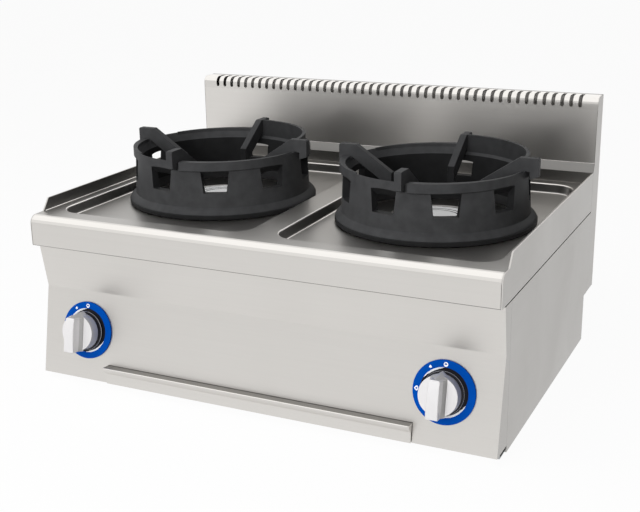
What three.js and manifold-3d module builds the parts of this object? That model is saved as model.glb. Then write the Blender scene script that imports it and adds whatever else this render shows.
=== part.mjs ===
// A counter-top gas wok range: two cast wok rings over two burners in a pressed
// stainless worktop, a concave front with two gas taps, a drip tray and a slotted flue.
// Millimetres. X runs to the right, Y to the back, Z up; the range stands on Z = 0.
import * as THREE from 'three';
import { mergeVertices } from 'three/addons/utils/BufferGeometryUtils.js';
import Module from 'manifold-3d';

const wasm = await Module();
wasm.setup();

// ---------------------------------------------------------------- driving sizes
const seatGap = 0.3; // between faces that touch

// body
const width = 800;
const bodyDepth = 605; // apron face to the back of the flue
const panelSheet = 1.5;

// worktop
const worktopZ = 287;
const worktopSheet = 2;
const apronBottomZ = 236.5;
const apronReturn = 24;
const bullnoseRadius = 14;
const upstandHeight = 20;
const upstandSheet = 3;
const upstandStartY = 33;
const upstandRake = 15;
const rearFlangeDrop = 36;

// the two wells pressed into the worktop
const wellSideMargin = 23;
const wellSpacing = 48; // between the two wells
const wellFrontY = 45;
const wellRearMargin = 25;
const wellDepth = 16.5;
const wellCornerRadius = 36;
const wellEdgeRadius = 3;
const burnerHoleRadius = 80;
const holeCollarHeight = 3;

// flue riser
const riserTopZ = 440;
const riserFrontY = 557; // foot of the riser, behind the worktop
const riserFaceSetback = 8; // main face behind the foot
const riserFootTop = upstandHeight;
const riserFootRise = 16; // height of the sloping band
const riserEdgeRadius = 12;
const riserSkirtZ = 240;
const ductBottomZ = 84;
const slotPitch = 16;
const slotWidth = 6.5;
const slotEndMargin = 30;
const slotFootZ = 421;
const slotRearMargin = 10;
const slotOverrun = 1;

// side panels
const sideTopZ = 235;
const sideFrontY = 49.8;
const sideFlange = 20;
const sideJoggle = 4.5;
const rearNotchDepth = 69; // the lower back stands in for the gas line
const frontFlange = 16;

// concave front panel, corners of its outer face
const panelTopY = 17.5;
const panelTopZ = 235;
const creaseY = 31;
const creaseZ = 158;
const creaseRadius = 26;
const panelFootY = 2.5;
const panelFootZ = 11;
const panelTopFlange = 22;
const panelFootFlange = 22;

// drip tray
const trayMargin = 130; // from the side of the range to the tray
const trayMouthTopZ = 41;
const trayGap = 0.5; // each side of the fascia
const trayLipReach = 10;
const trayLipZ = 42;
const trayLipFootZ = 28.5;
const trayLedge = 15.5;
const trayPanDepth = 460;
const trayPanFrontY = 6;
const trayPanInset = 3;
const trayPanBottomZ = 12;
const trayPanTopZ = 37;
const runnerLength = 470;
const runnerShelf = 18;

// gas taps, measured along and square to the lower slope of the front panel
const tapInset = 85.8; // from the side of the range
const tapHeight = 83.5; // up the slope from the panel's foot
const bezelRadius = 48;
const bezelCupRadius = 36;
const bezelHeight = 3;
const bezelEdge = 0.8;
const bezelFloor = 0.8;
const knobRadius = 30;
const knobFaceHeight = 31;
const knobRimRadius = 32.5;
const knobRimHeight = 3.5;
const knobBackHeight = 6;
const knobHubRadius = 15;
const knobHubBack = 5;
const gripHeight = 57;
const gripCrown = 6; // the grip's front is lower at its upper end
const gripWidth = 18;
const gripTopReach = 26;
const gripFootReach = 30;
const pointerHeight = 42;
const stemRadius = 4;
const stemClearance = 0.5;
const stemFit = 0.05; // the knob grips its stem
const stemTipBelowPlug = 6;
const stemHeight = 24; // reach into the knob
const plugRadius = 9;
const plugClearance = 0.3;
const plugFront = -20;
const plugBack = -42;
const plugBoreBottom = -38;
const tapBodyFront = -12;
const tapBodyBack = -50;
const tapBodyHalfWidth = 15;
const tapBodyTop = 15;
const tapBodyFoot = -22;
const tapBossRadius = 11;
const panelHoleRadius = 9;

// gas pipes
const manifoldRadius = 11;
const manifoldWall = 2.5;
const manifoldBack = -30; // along the tap's axis
const manifoldOverrun = 26; // beyond each tap
const elbowRadius = 15;
const elbowWall = 1.5; // thicker than the pipes it joins
const inletReach = 48; // past the lower back panel
const inletClearance = 2;
const supplyPipeRadius = 4;
const pilotPipeRadius = 2.2;
const lineSpacing = 16; // pilot line and thermocouple at the tap
const unionNutRadius = 9;
const unionNutLength = 11;
const supplyStart = 20; // straight part behind the tap
const supplyLowBend = [44, 4, 22]; // inboard of the tap, behind the union, above the tap
const supplyHighBend = [25, 8, 100]; // outboard of the burner, before the union, above the tap
const supplyTurn = [26, 8]; // before the union, below its axis
const supplyEntry = 14;
const lineStart = 22; // straight part above the tap
const lineFoot = [35, 37]; // depth along the tap's axis at both ends of that part
const lineLowBend = [60, 165, 62]; // inboard of the tap, before the burner, above the tap
const lineHighBend = [12, 45, 84]; // outboard of the pilot, before the burner, above the tap
const lineTurn = 100; // above the tap
const lineEntry = 14;
const postSize = 12;
const postInset = 20; // from the tap to its post

// burners
const burnerBaseZ = 226;
const burnerRadius = 58;
const burnerWall = 7;
const burnerFloor = 6;
const capRadius = 64;
const capProud = 5.5; // over the well floor
const capFlange = 8;
const capStepRadius = 48;
const capStep = 1;
const capSpigot = 10;
const capClearance = 1.5;
const portCount = 12;
const portWidth = 5;
const portDepth = 5;
const venturiRadius = 17;
const venturiBore = 13;
const venturiMouthRadius = 21;
const venturiLength = 170;
const venturiRise = 20; // centre over the burner's base
const injectorRadius = 9;
const injectorNeck = 6;
const injectorTip = 3.5;
const injectorGap = 3; // tip to the mixing tube's mouth
const injectorHex = 12;
const bracketWidth = 30;
const bracketSheet = 2;
const bracketDrop = 18;
const pilotWidth = 16;
const pilotDepth = 13;
const pilotTopBelowCap = 10;
const pilotLength = 30;
const thermocoupleRadius = 2.5;

// rails that carry the burners
const railWidth = 26;
const railHeight = 20;
const railSpacing = 80; // between the two rails' centres

// cast wok rings, radii from the ring's own axis, heights from its base
const ringClearance = 11; // skirt to the well's sides
const skirtTuck = 1.5;
const skirtHeight = 5; // straight part of the skirt
const skirtFlare = 11.5;
const flareTop = 18.5;
const ringHeight = 95;
const ringWall = 14;
const ringTaper = 3;
const seatSlopeDrop = 15; // the sloping seat inside the rim
const footBore = 150; // inside radius at the very foot
const footBoreHeight = 20;
const windowHeight = 36.5;
const windowBelowRim = 15.5;
const windowTopDrop = 9; // from the wall's outer side down to the bore
const windowTopAngle = 18.5;
const windowFootAngle = 14.5;
const windowAngles = [-141, -102.5, -64.5, -26.5, 11.5, 91, 177];
const lipOverhang = 10;
const lipHeight = 14;
const lipRise = 1.5; // over the rim
const lipFades = [60, 60, 50, 78]; // degrees over which the lip runs out after each finger
const lipSteps = 8;
const lipGap = 4; // degrees from a finger's axis to the lip's start
const collarHeight = 19.5;
const collarWall = 6;
const collarSetback = 2;
const collarSteps = 12;
const fingerThickness = 12;
const fingerReach = 19; // past the ring's wall
const fingerHeight = 20; // over the rim
const fingerFlat = 31;
const fingerTipRadius = 75;
const fingerDrop = 43;
const fingerDepth = 27;
const fingerRootInset = 5; // from the rim's outer edge, where the finger goes into the wall
const fingerRootDrop = 11;
const fingerHookGap = 5;
const fingerHookDrop = 14;
const fingerHookSlant = 5;

// screws of the flue cover
const screwRadius = 5;
const screwHeight = 2.6;
const screwInset = 8;

// facets
const arcSteps = 4;
const riserEdgeSteps = 3;
const slotSteps = 3;
const ringSteps = 44;
const discSteps = 32;
const cupSteps = 20;
const roundSteps = 14;
const pipeSides = 8;
const linePipeSides = 6;

// ---------------------------------------------------------------- derived places
const halfWidth = width / 2;
const wellWidth = halfWidth - wellSideMargin - wellSpacing / 2;
const wellRearY = riserFrontY - wellRearMargin;
const wellFloorZ = worktopZ - wellDepth;
const burnerX = wellSpacing / 2 + wellWidth / 2;
const burnerY = (wellFrontY + wellRearY) / 2;
const capTopZ = wellFloorZ + capProud;
const burnerTopZ = capTopZ - capFlange - seatGap;
const upstandTopZ = worktopZ + upstandHeight;
const riserFaceY = riserFrontY + riserFaceSetback;
const coverFrontY = bodyDepth - panelSheet;
const lowerBackY = bodyDepth - rearNotchDepth;
const trayHalf = halfWidth - trayMargin;
const tapX = halfWidth - tapInset;
const slopeAngle = Math.atan2(creaseY - panelFootY, creaseZ - panelFootZ);
const tapY = panelFootY + Math.sin(slopeAngle) * tapHeight;
const tapZ = panelFootZ + Math.cos(slopeAngle) * tapHeight;
const manifoldDrop = tapBodyFoot - seatGap - manifoldRadius;
const baseSheetZ = panelSheet + seatGap;
const railTopZ = burnerBaseZ - seatGap;

// ---------------------------------------------------------------- shared shapes
const vec2 = (pair) => new THREE.Vector2(pair[0], pair[1]);

/** Turns a closed geometry into a solid, with its faces pointing out. */
function solidOf(geometry) {
  const bare = geometry.clone();
  bare.deleteAttribute('normal');
  bare.deleteAttribute('uv');
  const merged = mergeVertices(bare, 1e-4);
  const position = merged.attributes.position;
  const corners = [new THREE.Vector3(), new THREE.Vector3(), new THREE.Vector3()];
  const triangles = [];
  let volume = 0;
  for (let i = 0; i < merged.index.count; i += 3) {
    const tri = [0, 1, 2].map((k) => merged.index.getX(i + k));
    if (new Set(tri).size < 3) continue;
    corners.forEach((corner, k) => corner.fromBufferAttribute(position, tri[k]));
    volume += corners[0].dot(corners[1].clone().cross(corners[2]));
    triangles.push(tri);
  }
  const triVerts = Uint32Array.from(triangles.flatMap((t) => (volume < 0 ? [t[0], t[2], t[1]] : t)));
  return new wasm.Manifold(new wasm.Mesh({ numProp: 3, vertProperties: position.array, triVerts }));
}

/** Turns a solid back into a geometry for a mesh. */
function geometryOf(solid) {
  const mesh = solid.getMesh();
  const geometry = new THREE.BufferGeometry();
  geometry.setAttribute('position', new THREE.BufferAttribute(mesh.vertProperties.slice(), 3));
  geometry.setIndex(new THREE.BufferAttribute(mesh.triVerts.slice(), 1));
  geometry.computeVertexNormals();
  return geometry;
}

const joined = (solids) => solids.reduce((whole, next) => whole.add(next));
const cutBy = (solid, tools) => tools.reduce((whole, tool) => whole.subtract(tool), solid);

function placed(solid, x, y, z) {
  return solid.translate([x, y, z]);
}

/** An outline of [a, b] pairs pushed out along one axis between two places. */
function extruded(outline, axis, from, to, holes = []) {
  const shape = new THREE.Shape(outline.map(vec2));
  holes.forEach((hole) => shape.holes.push(new THREE.Path(hole.map(vec2))));
  const geometry = new THREE.ExtrudeGeometry(shape, { depth: to - from, bevelEnabled: false });
  const X = new THREE.Vector3(1, 0, 0);
  const Y = new THREE.Vector3(0, 1, 0);
  const Z = new THREE.Vector3(0, 0, 1);
  const basis = new THREE.Matrix4();
  if (axis === 'x') basis.makeBasis(Y, Z, X).setPosition(from, 0, 0);
  if (axis === 'y') basis.makeBasis(X, Z, Y.negate()).setPosition(0, to, 0);
  if (axis === 'z') basis.setPosition(0, 0, from);
  geometry.applyMatrix4(basis);
  return solidOf(geometry);
}

function box(x0, x1, y0, y1, z0, z1) {
  return extruded([[x0, y0], [x1, y0], [x1, y1], [x0, y1]], 'z', z0, z1);
}

/** Points of an arc, angles in degrees. */
function arc(centreA, centreB, radius, start, end, steps = arcSteps) {
  return Array.from({ length: steps + 1 }, (_, i) => {
    const angle = THREE.MathUtils.degToRad(start + ((end - start) * i) / steps);
    return [centreA + radius * Math.cos(angle), centreB + radius * Math.sin(angle)];
  });
}

const circle = (a, b, radius, steps = roundSteps) => arc(a, b, radius, 0, 360 - 360 / steps, steps - 1);

/** A path whose corner between two straight stretches is bent to a radius. */
function bend(before, corner, after, radius, steps = arcSteps) {
  const c = vec2(corner);
  const inward = vec2(before).sub(c).normalize();
  const outward = vec2(after).sub(c).normalize();
  const half = inward.angleTo(outward) / 2;
  const towards = inward.clone().add(outward).normalize();
  const centre = c.clone().add(towards.multiplyScalar(radius / Math.sin(half)));
  const reach = radius / Math.tan(half);
  const first = c.clone().add(inward.multiplyScalar(reach)).sub(centre);
  const last = c.clone().add(outward.multiplyScalar(reach)).sub(centre);
  const start = first.angle();
  let turn = last.angle() - start;
  if (turn > Math.PI) turn -= 2 * Math.PI;
  if (turn < -Math.PI) turn += 2 * Math.PI;
  return Array.from({ length: steps + 1 }, (_, i) => {
    const angle = start + (turn * i) / steps;
    return [centre.x + radius * Math.cos(angle), centre.y + radius * Math.sin(angle)];
  });
}

/** The outline of a sheet that follows a path, with its thickness to the right of it. */
function sheet(path, thickness) {
  const points = path.map(vec2);
  const normals = points.slice(1).map((p, i) => {
    const along = p.clone().sub(points[i]).normalize();
    return new THREE.Vector2(along.y, -along.x);
  });
  const inner = points.map((p, i) => {
    const a = normals[Math.max(i - 1, 0)];
    const b = normals[Math.min(i, normals.length - 1)];
    const miter = a.clone().add(b).multiplyScalar(thickness / (1 + a.dot(b)));
    return p.clone().add(miter).toArray();
  });
  return [...path, ...inner.reverse()];
}

/** A solid through loops of points, its ends closed by the outline's own triangles. */
function lofted(loops, endOutline) {
  const count = endOutline.length;
  const caps = THREE.ShapeUtils.triangulateShape(endOutline.map(vec2), []);
  const index = [];
  for (let ring = 0; ring < loops.length - 1; ring += 1) {
    for (let i = 0; i < count; i += 1) {
      const a = ring * count + i;
      const b = ring * count + ((i + 1) % count);
      index.push(a, b, b + count, a, b + count, a + count);
    }
  }
  const turned = THREE.ShapeUtils.isClockWise(endOutline.map(vec2)) ? -1 : 1;
  const last = (loops.length - 1) * count;
  caps.forEach(([a, b, c]) => {
    index.push(...(turned > 0 ? [a, c, b] : [a, b, c]));
    index.push(...(turned > 0 ? [last + a, last + b, last + c] : [last + a, last + c, last + b]));
  });
  const geometry = new THREE.BufferGeometry();
  geometry.setAttribute('position', new THREE.Float32BufferAttribute(loops.flat(2), 3));
  geometry.setIndex(index);
  return solidOf(geometry);
}

/** A profile of [radius, height] pairs turned about the Z axis. */
function turned(profile, steps = roundSteps) {
  const onAxis = profile[0][0] === 0 && profile[profile.length - 1][0] === 0;
  const points = (onAxis ? profile : [...profile, profile[0]]).map(vec2);
  const geometry = new THREE.LatheGeometry(points, steps);
  geometry.rotateX(Math.PI / 2);
  return solidOf(geometry);
}

/** A section of [radius, height] pairs swept round Z from one angle to another. */
function sweptRound(sectionAt, start, end, steps) {
  const loops = Array.from({ length: steps + 1 }, (_, i) => {
    const share = i / steps;
    const angle = THREE.MathUtils.degToRad(start + (end - start) * share);
    return sectionAt(share).map(([r, z]) => [r * Math.cos(angle), r * Math.sin(angle), z]);
  });
  return lofted(loops, sectionAt(0));
}

/** A round pipe along a smooth curve through points. */
function pipe(points, radius, steps, sides = pipeSides) {
  const curve = new THREE.CatmullRomCurve3(points.map((p) => new THREE.Vector3(...p)), false, 'centripetal');
  const section = new THREE.Shape(circle(0, 0, radius, sides).map(vec2));
  return solidOf(new THREE.ExtrudeGeometry(section, { extrudePath: curve, steps, bevelEnabled: false }));
}

function roundedRectangle(x0, x1, y0, y1, radius) {
  return [
    ...arc(x1 - radius, y1 - radius, radius, 0, 90),
    ...arc(x0 + radius, y1 - radius, radius, 90, 180),
    ...arc(x0 + radius, y0 + radius, radius, 180, 270),
    ...arc(x1 - radius, y0 + radius, radius, 270, 360),
  ];
}

// ---------------------------------------------------------------- finishes and naming
const finishes = {
  stainless: { color: 0xcfccc8, roughness: 0.34, metalness: 1 },
  brightSteel: { color: 0xe6e6e6, roughness: 0.12, metalness: 1 },
  galvanised: { color: 0xa9abac, roughness: 0.55, metalness: 1 },
  castIron: { color: 0x2e2f30, roughness: 0.72, metalness: 0.4 },
  brass: { color: 0xb39148, roughness: 0.38, metalness: 1 },
  blueEnamel: { color: 0x0048aa, roughness: 0.35, metalness: 0 },
  satinKnob: { color: 0xd8d6d4, roughness: 0.25, metalness: 0.9 },
  copper: { color: 0xb87548, roughness: 0.4, metalness: 1 },
};

function part(name, solid, finish) {
  const mesh = new THREE.Mesh(geometryOf(solid), new THREE.MeshStandardMaterial(finishes[finish]));
  mesh.name = name;
  return mesh;
}

const sides = [{ name: 'left', sign: -1 }, { name: 'right', sign: 1 }];

// ---------------------------------------------------------------- worktop
function wellLoop(sign, z, inset) {
  const centre = sign * burnerX;
  const half = wellWidth / 2 - inset;
  const outline = roundedRectangle(
    centre - half, centre + half, wellFrontY + inset, wellRearY - inset, wellCornerRadius - inset,
  );
  return outline.map(([x, y]) => [x, y, z]);
}

function wellSolid(sign, outset, topZ, floorZ) {
  const radius = wellEdgeRadius - Math.min(outset, 0);
  const low = floorZ + radius;
  const rounded = arc(0, low, radius, 180, 270, 2).map(([a, z]) => wellLoop(sign, z, a + radius - outset));
  const loops = [wellLoop(sign, topZ, -outset), ...rounded];
  return lofted(loops, loops[0].map(([x, y]) => [x, y]));
}

function worktop() {
  const rear = riserFrontY - seatGap;
  const apron = [
    [apronReturn, apronBottomZ],
    [0, apronBottomZ],
    ...arc(bullnoseRadius, worktopZ - bullnoseRadius, bullnoseRadius, 180, 90),
    [rear, worktopZ],
    [rear, worktopZ - rearFlangeDrop],
  ];
  const sideOutline = [
    [0, apronBottomZ],
    ...arc(bullnoseRadius, worktopZ - bullnoseRadius, bullnoseRadius, 180, 90),
    [upstandStartY, worktopZ],
    [upstandStartY + upstandRake, upstandTopZ],
    [rear, upstandTopZ],
    [rear, apronBottomZ],
  ];
  let solid = extruded(sheet(apron, worktopSheet), 'x', -halfWidth, halfWidth);
  solid = solid.add(extruded(sideOutline, 'x', -halfWidth, -halfWidth + upstandSheet));
  solid = solid.add(extruded(sideOutline, 'x', halfWidth - upstandSheet, halfWidth));
  sides.forEach(({ sign }) => {
    const over = worktopZ + worktopSheet;
    solid = solid.add(wellSolid(sign, worktopSheet, worktopZ - worktopSheet / 2, wellFloorZ - worktopSheet));
    solid = solid.subtract(wellSolid(sign, 0, over, wellFloorZ));
    const collar = extruded(
      circle(0, 0, burnerHoleRadius + worktopSheet, cupSteps), 'z',
      wellFloorZ - worktopSheet / 2, wellFloorZ + holeCollarHeight,
    );
    const hole = extruded(circle(0, 0, burnerHoleRadius, cupSteps), 'z', burnerBaseZ, over);
    solid = solid.add(placed(collar, sign * burnerX, burnerY, 0));
    solid = solid.subtract(placed(hole, sign * burnerX, burnerY, 0));
  });
  return solid;
}

// ---------------------------------------------------------------- flue
const riserFace = [
  [riserFrontY, worktopZ + riserFootTop],
  [riserFaceY, worktopZ + riserFootTop + riserFootRise],
  ...arc(riserFaceY + riserEdgeRadius, riserTopZ - riserEdgeRadius, riserEdgeRadius, 180, 90, riserEdgeSteps),
];

function ventSlots() {
  const count = Math.floor((halfWidth - slotEndMargin) / slotPitch);
  const half = slotWidth / 2;
  const slotRearY = coverFrontY - slotRearMargin;
  const deep = riserFaceY + riserEdgeRadius + panelSheet;
  const low = slotFootZ + half;
  const bendZ = riserTopZ - riserEdgeRadius;
  const front = riserFaceY - slotOverrun;
  const face = [[half, bendZ], ...arc(0, low, half, 0, -180, slotSteps), [-half, bendZ]];
  const top = [[-half, front], [half, front], ...arc(0, slotRearY - half, half, 0, 180, slotSteps)];
  const faceCut = extruded(face, 'y', front, deep);
  const topCut = extruded(top, 'z', bendZ - slotOverrun, riserTopZ + slotOverrun);
  const slot = faceCut.add(topCut);
  return Array.from({ length: 2 * count + 1 }, (_, i) => placed(slot, (i - count) * slotPitch, 0, 0));
}

function flueRiser() {
  const rear = coverFrontY - seatGap;
  const path = [[riserFrontY, riserSkirtZ], ...riserFace, [rear, riserTopZ]];
  const sideOutline = [[riserFrontY, ductBottomZ], ...riserFace, [rear, riserTopZ], [rear, ductBottomZ]];
  const shell = joined([
    extruded(sheet(path, panelSheet), 'x', -halfWidth, halfWidth),
    extruded(sideOutline, 'x', -halfWidth, -halfWidth + panelSheet),
    extruded(sideOutline, 'x', halfWidth - panelSheet, halfWidth),
  ]);
  return cutBy(shell, ventSlots());
}

function flueCover() {
  return box(-halfWidth, halfWidth, coverFrontY, bodyDepth, ductBottomZ, riserTopZ);
}

function coverScrew() {
  const edge = [screwRadius, screwHeight / 2];
  return turned([[0, 0], [screwRadius, 0], edge, [screwRadius / 2, screwHeight], [0, screwHeight]], roundSteps);
}

/** The lower back: a sheet down to the base and a shelf that closes the duct below. */
function lowerBack(inletX, inletZ) {
  const shelfTop = ductBottomZ - seatGap;
  const path = [
    [bodyDepth - seatGap, shelfTop],
    [lowerBackY - panelSheet, shelfTop],
    [lowerBackY - panelSheet, baseSheetZ + panelSheet + seatGap],
  ];
  const outline = sheet(path.reverse(), panelSheet);
  const inside = halfWidth - panelSheet - seatGap;
  const solid = extruded(outline, 'x', -inside, inside);
  const section = circle(inletX, inletZ, manifoldRadius + inletClearance);
  const hole = extruded(section, 'y', lowerBackY - 2 * panelSheet, lowerBackY + panelSheet);
  return solid.subtract(hole);
}

// ---------------------------------------------------------------- side panels and base
function sidePanel(sign) {
  const joggleX = halfWidth - sideJoggle;
  const top = worktopZ - worktopSheet - seatGap;
  const joggle = [[joggleX, top], [joggleX, sideTopZ], [halfWidth, sideTopZ]];
  const rear = riserFrontY - seatGap;
  const outline = [
    [sideFrontY, 0], [lowerBackY, 0], [lowerBackY, ductBottomZ], [rear, ductBottomZ],
    [rear, sideTopZ], [sideFrontY, sideTopZ],
  ];
  const solid = joined([
    extruded(outline, 'x', halfWidth - panelSheet, halfWidth),
    extruded(sheet(joggle, panelSheet), 'y', sideFrontY, rear - worktopSheet - seatGap),
    box(halfWidth - sideFlange, halfWidth, sideFrontY, lowerBackY - panelSheet * 2, 0, panelSheet),
    box(halfWidth - sideFlange, halfWidth, sideFrontY, sideFrontY + panelSheet, 0, sideTopZ),
  ]);
  return sign > 0 ? solid : solid.mirror([1, 0, 0]);
}

function basePlate() {
  const front = panelFootY + panelFootFlange - 2 * panelSheet;
  const path = [
    [front, panelFootZ - seatGap],
    [front, baseSheetZ],
    [lowerBackY - panelSheet, baseSheetZ],
  ];
  const inside = halfWidth - panelSheet - seatGap;
  const solid = extruded(sheet(path.reverse(), panelSheet), 'x', -inside, inside);
  const corner = halfWidth - sideFlange - seatGap;
  const back = sideFrontY + panelSheet + seatGap;
  const clear = (x0, x1) => box(x0, x1, sideFrontY - seatGap, back, 0, panelFootZ);
  return cutBy(solid, [clear(corner, halfWidth), clear(-halfWidth, -corner)]);
}

// ---------------------------------------------------------------- front panel
function frontPanel() {
  const crease = bend([panelTopY, panelTopZ], [creaseY, creaseZ], [panelFootY, panelFootZ], creaseRadius);
  const face = [[panelTopY, panelTopZ], ...crease, [panelFootY, panelFootZ]];
  const path = [
    [panelTopY + panelTopFlange, panelTopZ], ...face, [panelFootY + panelFootFlange, panelFootZ],
  ];
  const rear = sideFrontY - seatGap;
  const sideOutline = [...face, [rear, panelFootZ], [rear, panelTopZ]];
  const mouth = trayHalf + trayGap;
  const drill = extruded(circle(0, 0, panelHoleRadius), 'z', -knobRadius, knobRadius);
  const tilt = 90 - THREE.MathUtils.radToDeg(slopeAngle);
  const stemHole = placed(drill.rotate([tilt, 0, 0]), 0, tapY, tapZ);
  let solid = extruded(sheet(path.reverse(), panelSheet), 'x', -halfWidth, halfWidth);
  sides.forEach(({ sign }) => {
    const inner = sign * (halfWidth - panelSheet);
    const outer = sign * halfWidth;
    const flange = sign * (halfWidth - frontFlange);
    solid = solid.add(extruded(sideOutline, 'x', Math.min(inner, outer), Math.max(inner, outer)));
    solid = solid.add(box(
      Math.min(flange, outer), Math.max(flange, outer), rear - panelSheet, rear, panelFootZ, panelTopZ,
    ));
    solid = solid.subtract(placed(stemHole, sign * tapX, 0, 0));
  });
  return solid.subtract(box(-mouth, mouth, -trayLipReach, rear, 0, trayMouthTopZ));
}

// ---------------------------------------------------------------- drip tray
function dripTray() {
  const half = trayHalf;
  const fascia = [
    [0, panelFootZ],
    [0, trayLipFootZ],
    [-trayLipReach, trayLipZ],
    [trayLedge - trayLipReach, trayLipZ - panelSheet],
  ];
  const panHalf = half - trayPanInset;
  const rear = trayPanFrontY + trayPanDepth;
  const pan = box(-panHalf, panHalf, trayPanFrontY, rear, trayPanBottomZ, trayPanTopZ);
  const hollow = box(
    -panHalf + panelSheet, panHalf - panelSheet, trayPanFrontY + panelSheet, rear - panelSheet,
    trayPanBottomZ + panelSheet, trayPanTopZ + 1,
  );
  const footTop = trayPanBottomZ + panelSheet;
  const foot = box(-panHalf, panHalf, panelSheet / 2, trayPanFrontY + 1, trayPanBottomZ, footTop);
  return joined([extruded(sheet(fascia, panelSheet), 'x', -half, half), foot, pan.subtract(hollow)]);
}

function trayRunner(sign) {
  const web = trayHalf - trayPanInset + seatGap;
  const shelfTop = trayPanBottomZ - seatGap;
  const foot = baseSheetZ + panelSheet + seatGap;
  const outline = [
    [web - runnerShelf, shelfTop], [web - runnerShelf, shelfTop - panelSheet], [web, shelfTop - panelSheet],
    [web, foot], [web + runnerShelf, foot], [web + runnerShelf, foot + panelSheet],
    [web + panelSheet, foot + panelSheet], [web + panelSheet, trayPanTopZ],
    [web, trayPanTopZ], [web, shelfTop],
  ];
  const start = sideFrontY / 2;
  const solid = extruded(outline, 'y', start, start + runnerLength);
  return sign > 0 ? solid : solid.mirror([1, 0, 0]);
}

// ---------------------------------------------------------------- wok ring
const skirtRadius = wellWidth / 2 - ringClearance;
const wallRadius = skirtRadius - skirtFlare;
const rimRadius = wallRadius - ringTaper;
const boreRadius = wallRadius - ringWall;
const ringBaseZ = wellFloorZ + seatGap;

function ringBody() {
  return turned([
    [skirtRadius - skirtTuck, 0],
    [skirtRadius, skirtTuck],
    [skirtRadius, skirtHeight],
    [skirtRadius - skirtFlare / 4, flareTop - (flareTop - skirtHeight) / 2],
    [wallRadius + skirtFlare / 4, flareTop - skirtTuck],
    [wallRadius, flareTop],
    [rimRadius, ringHeight - 1],
    [rimRadius - 1, ringHeight],
    [boreRadius, ringHeight - seatSlopeDrop],
    [boreRadius, footBoreHeight],
    [footBore, 0],
  ], ringSteps);
}

function ringWindow() {
  const outerTop = ringHeight - windowBelowRim;
  const foot = outerTop - windowHeight;
  const reach = skirtRadius + 5;
  const wide = (angle) => reach * Math.tan(THREE.MathUtils.degToRad(angle / 2));
  const narrow = reach - 60;
  const at = (distance) => {
    const share = distance / reach;
    const half = [wide(windowTopAngle) * share, wide(windowFootAngle) * share];
    const top = outerTop - (windowTopDrop * (wallRadius - distance)) / ringWall;
    return [
      [distance, -half[0], top], [distance, half[0], top],
      [distance, half[1], foot], [distance, -half[1], foot],
    ];
  };
  return lofted([at(narrow), at(reach)], [[0, 1], [1, 1], [1, 0], [0, 0]]);
}

/** The lip over one quarter: proud just after a finger, run out before the next. */
function ringLip(fade) {
  const foot = ringHeight - lipHeight;
  const top = ringHeight + lipRise;
  const root = rimRadius - ringTaper;
  return sweptRound((share) => {
    const proud = lipOverhang - (lipOverhang + ringTaper / 2) * share;
    const edge = rimRadius + proud;
    return [[root, foot], [edge, foot], [edge, top - 1], [edge - 1, top], [root - 1, top]];
  }, lipGap, lipGap + fade, lipSteps);
}

/** The raised guard between the right and the rear finger. */
function ringCollar() {
  const outer = rimRadius - collarSetback;
  const section = [
    [outer - collarWall, ringHeight - 8], [outer, ringHeight - 8],
    [outer, ringHeight + collarHeight], [outer - collarWall, ringHeight + collarHeight],
  ];
  return sweptRound(() => section, 1, 89, collarSteps);
}

function ringFinger() {
  const outer = wallRadius + fingerReach - ringTaper;
  const top = ringHeight + fingerHeight;
  const bridge = outer - fingerFlat;
  const hook = rimRadius + fingerHookGap;
  const hookFoot = ringHeight - fingerHookDrop;
  const root = rimRadius - fingerRootInset;
  const rootFoot = ringHeight - fingerRootDrop;
  const slope = fingerDrop / (bridge - fingerTipRadius);
  const underside = top - fingerDrop - fingerDepth;
  const outline = [
    [outer, hookFoot + fingerHookSlant], [outer, top - 2], [outer - 2, top], [bridge, top],
    [fingerTipRadius, top - fingerDrop], [fingerTipRadius, underside],
    [root, underside + slope * (root - fingerTipRadius)], [root, rootFoot],
    [rimRadius - 1, rootFoot], [rimRadius - 1, ringHeight - 2], [hook, ringHeight - 2], [hook, hookFoot],
  ];
  return extruded(outline, 'y', -fingerThickness / 2, fingerThickness / 2);
}

function wokRing() {
  const windows = windowAngles.map((angle) => ringWindow().rotate([0, 0, angle]));
  const quarters = [0, 90, 180, 270];
  return joined([
    cutBy(ringBody(), windows),
    ...quarters.map((angle, i) => ringLip(lipFades[i]).rotate([0, 0, angle])),
    ringCollar(),
    ...quarters.map((angle) => ringFinger().rotate([0, 0, angle])),
  ]);
}

// ---------------------------------------------------------------- burner
function burnerBody() {
  const height = burnerTopZ - burnerBaseZ;
  const cup = turned([
    [0, 0], [burnerRadius - 4, 0], [burnerRadius, 4], [burnerRadius, height],
    [burnerRadius - burnerWall, height], [burnerRadius - burnerWall, burnerFloor], [0, burnerFloor],
  ], cupSteps);
  const tube = turned([
    [venturiRadius, 0], [venturiRadius, venturiLength - 24], [venturiMouthRadius, venturiLength - 12],
    [venturiMouthRadius, venturiLength], [venturiBore + 5, venturiLength], [venturiBore, venturiLength - 14],
    [venturiBore, 0],
  ], roundSteps).rotate([90, 0, 0]);
  const bore = extruded(circle(0, 0, venturiBore), 'z', 0, venturiLength / 2).rotate([90, 0, 0]);
  const inner = burnerRadius - burnerWall;
  const above = height + 1;
  const inside = turned([[0, burnerFloor], [inner, burnerFloor], [inner, above], [0, above]], cupSteps);
  const port = box(0, burnerRadius + 1, -portWidth / 2, portWidth / 2, height - portDepth, height + 1);
  const turn = 360 / portCount;
  const ports = Array.from({ length: portCount }, (_, i) => port.rotate([0, 0, turn * (i + 0.5)]));
  const fed = cup.add(placed(tube, 0, 0, venturiRise).subtract(inside));
  return cutBy(fed, [placed(bore, 0, 0, venturiRise), ...ports]);
}

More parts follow.
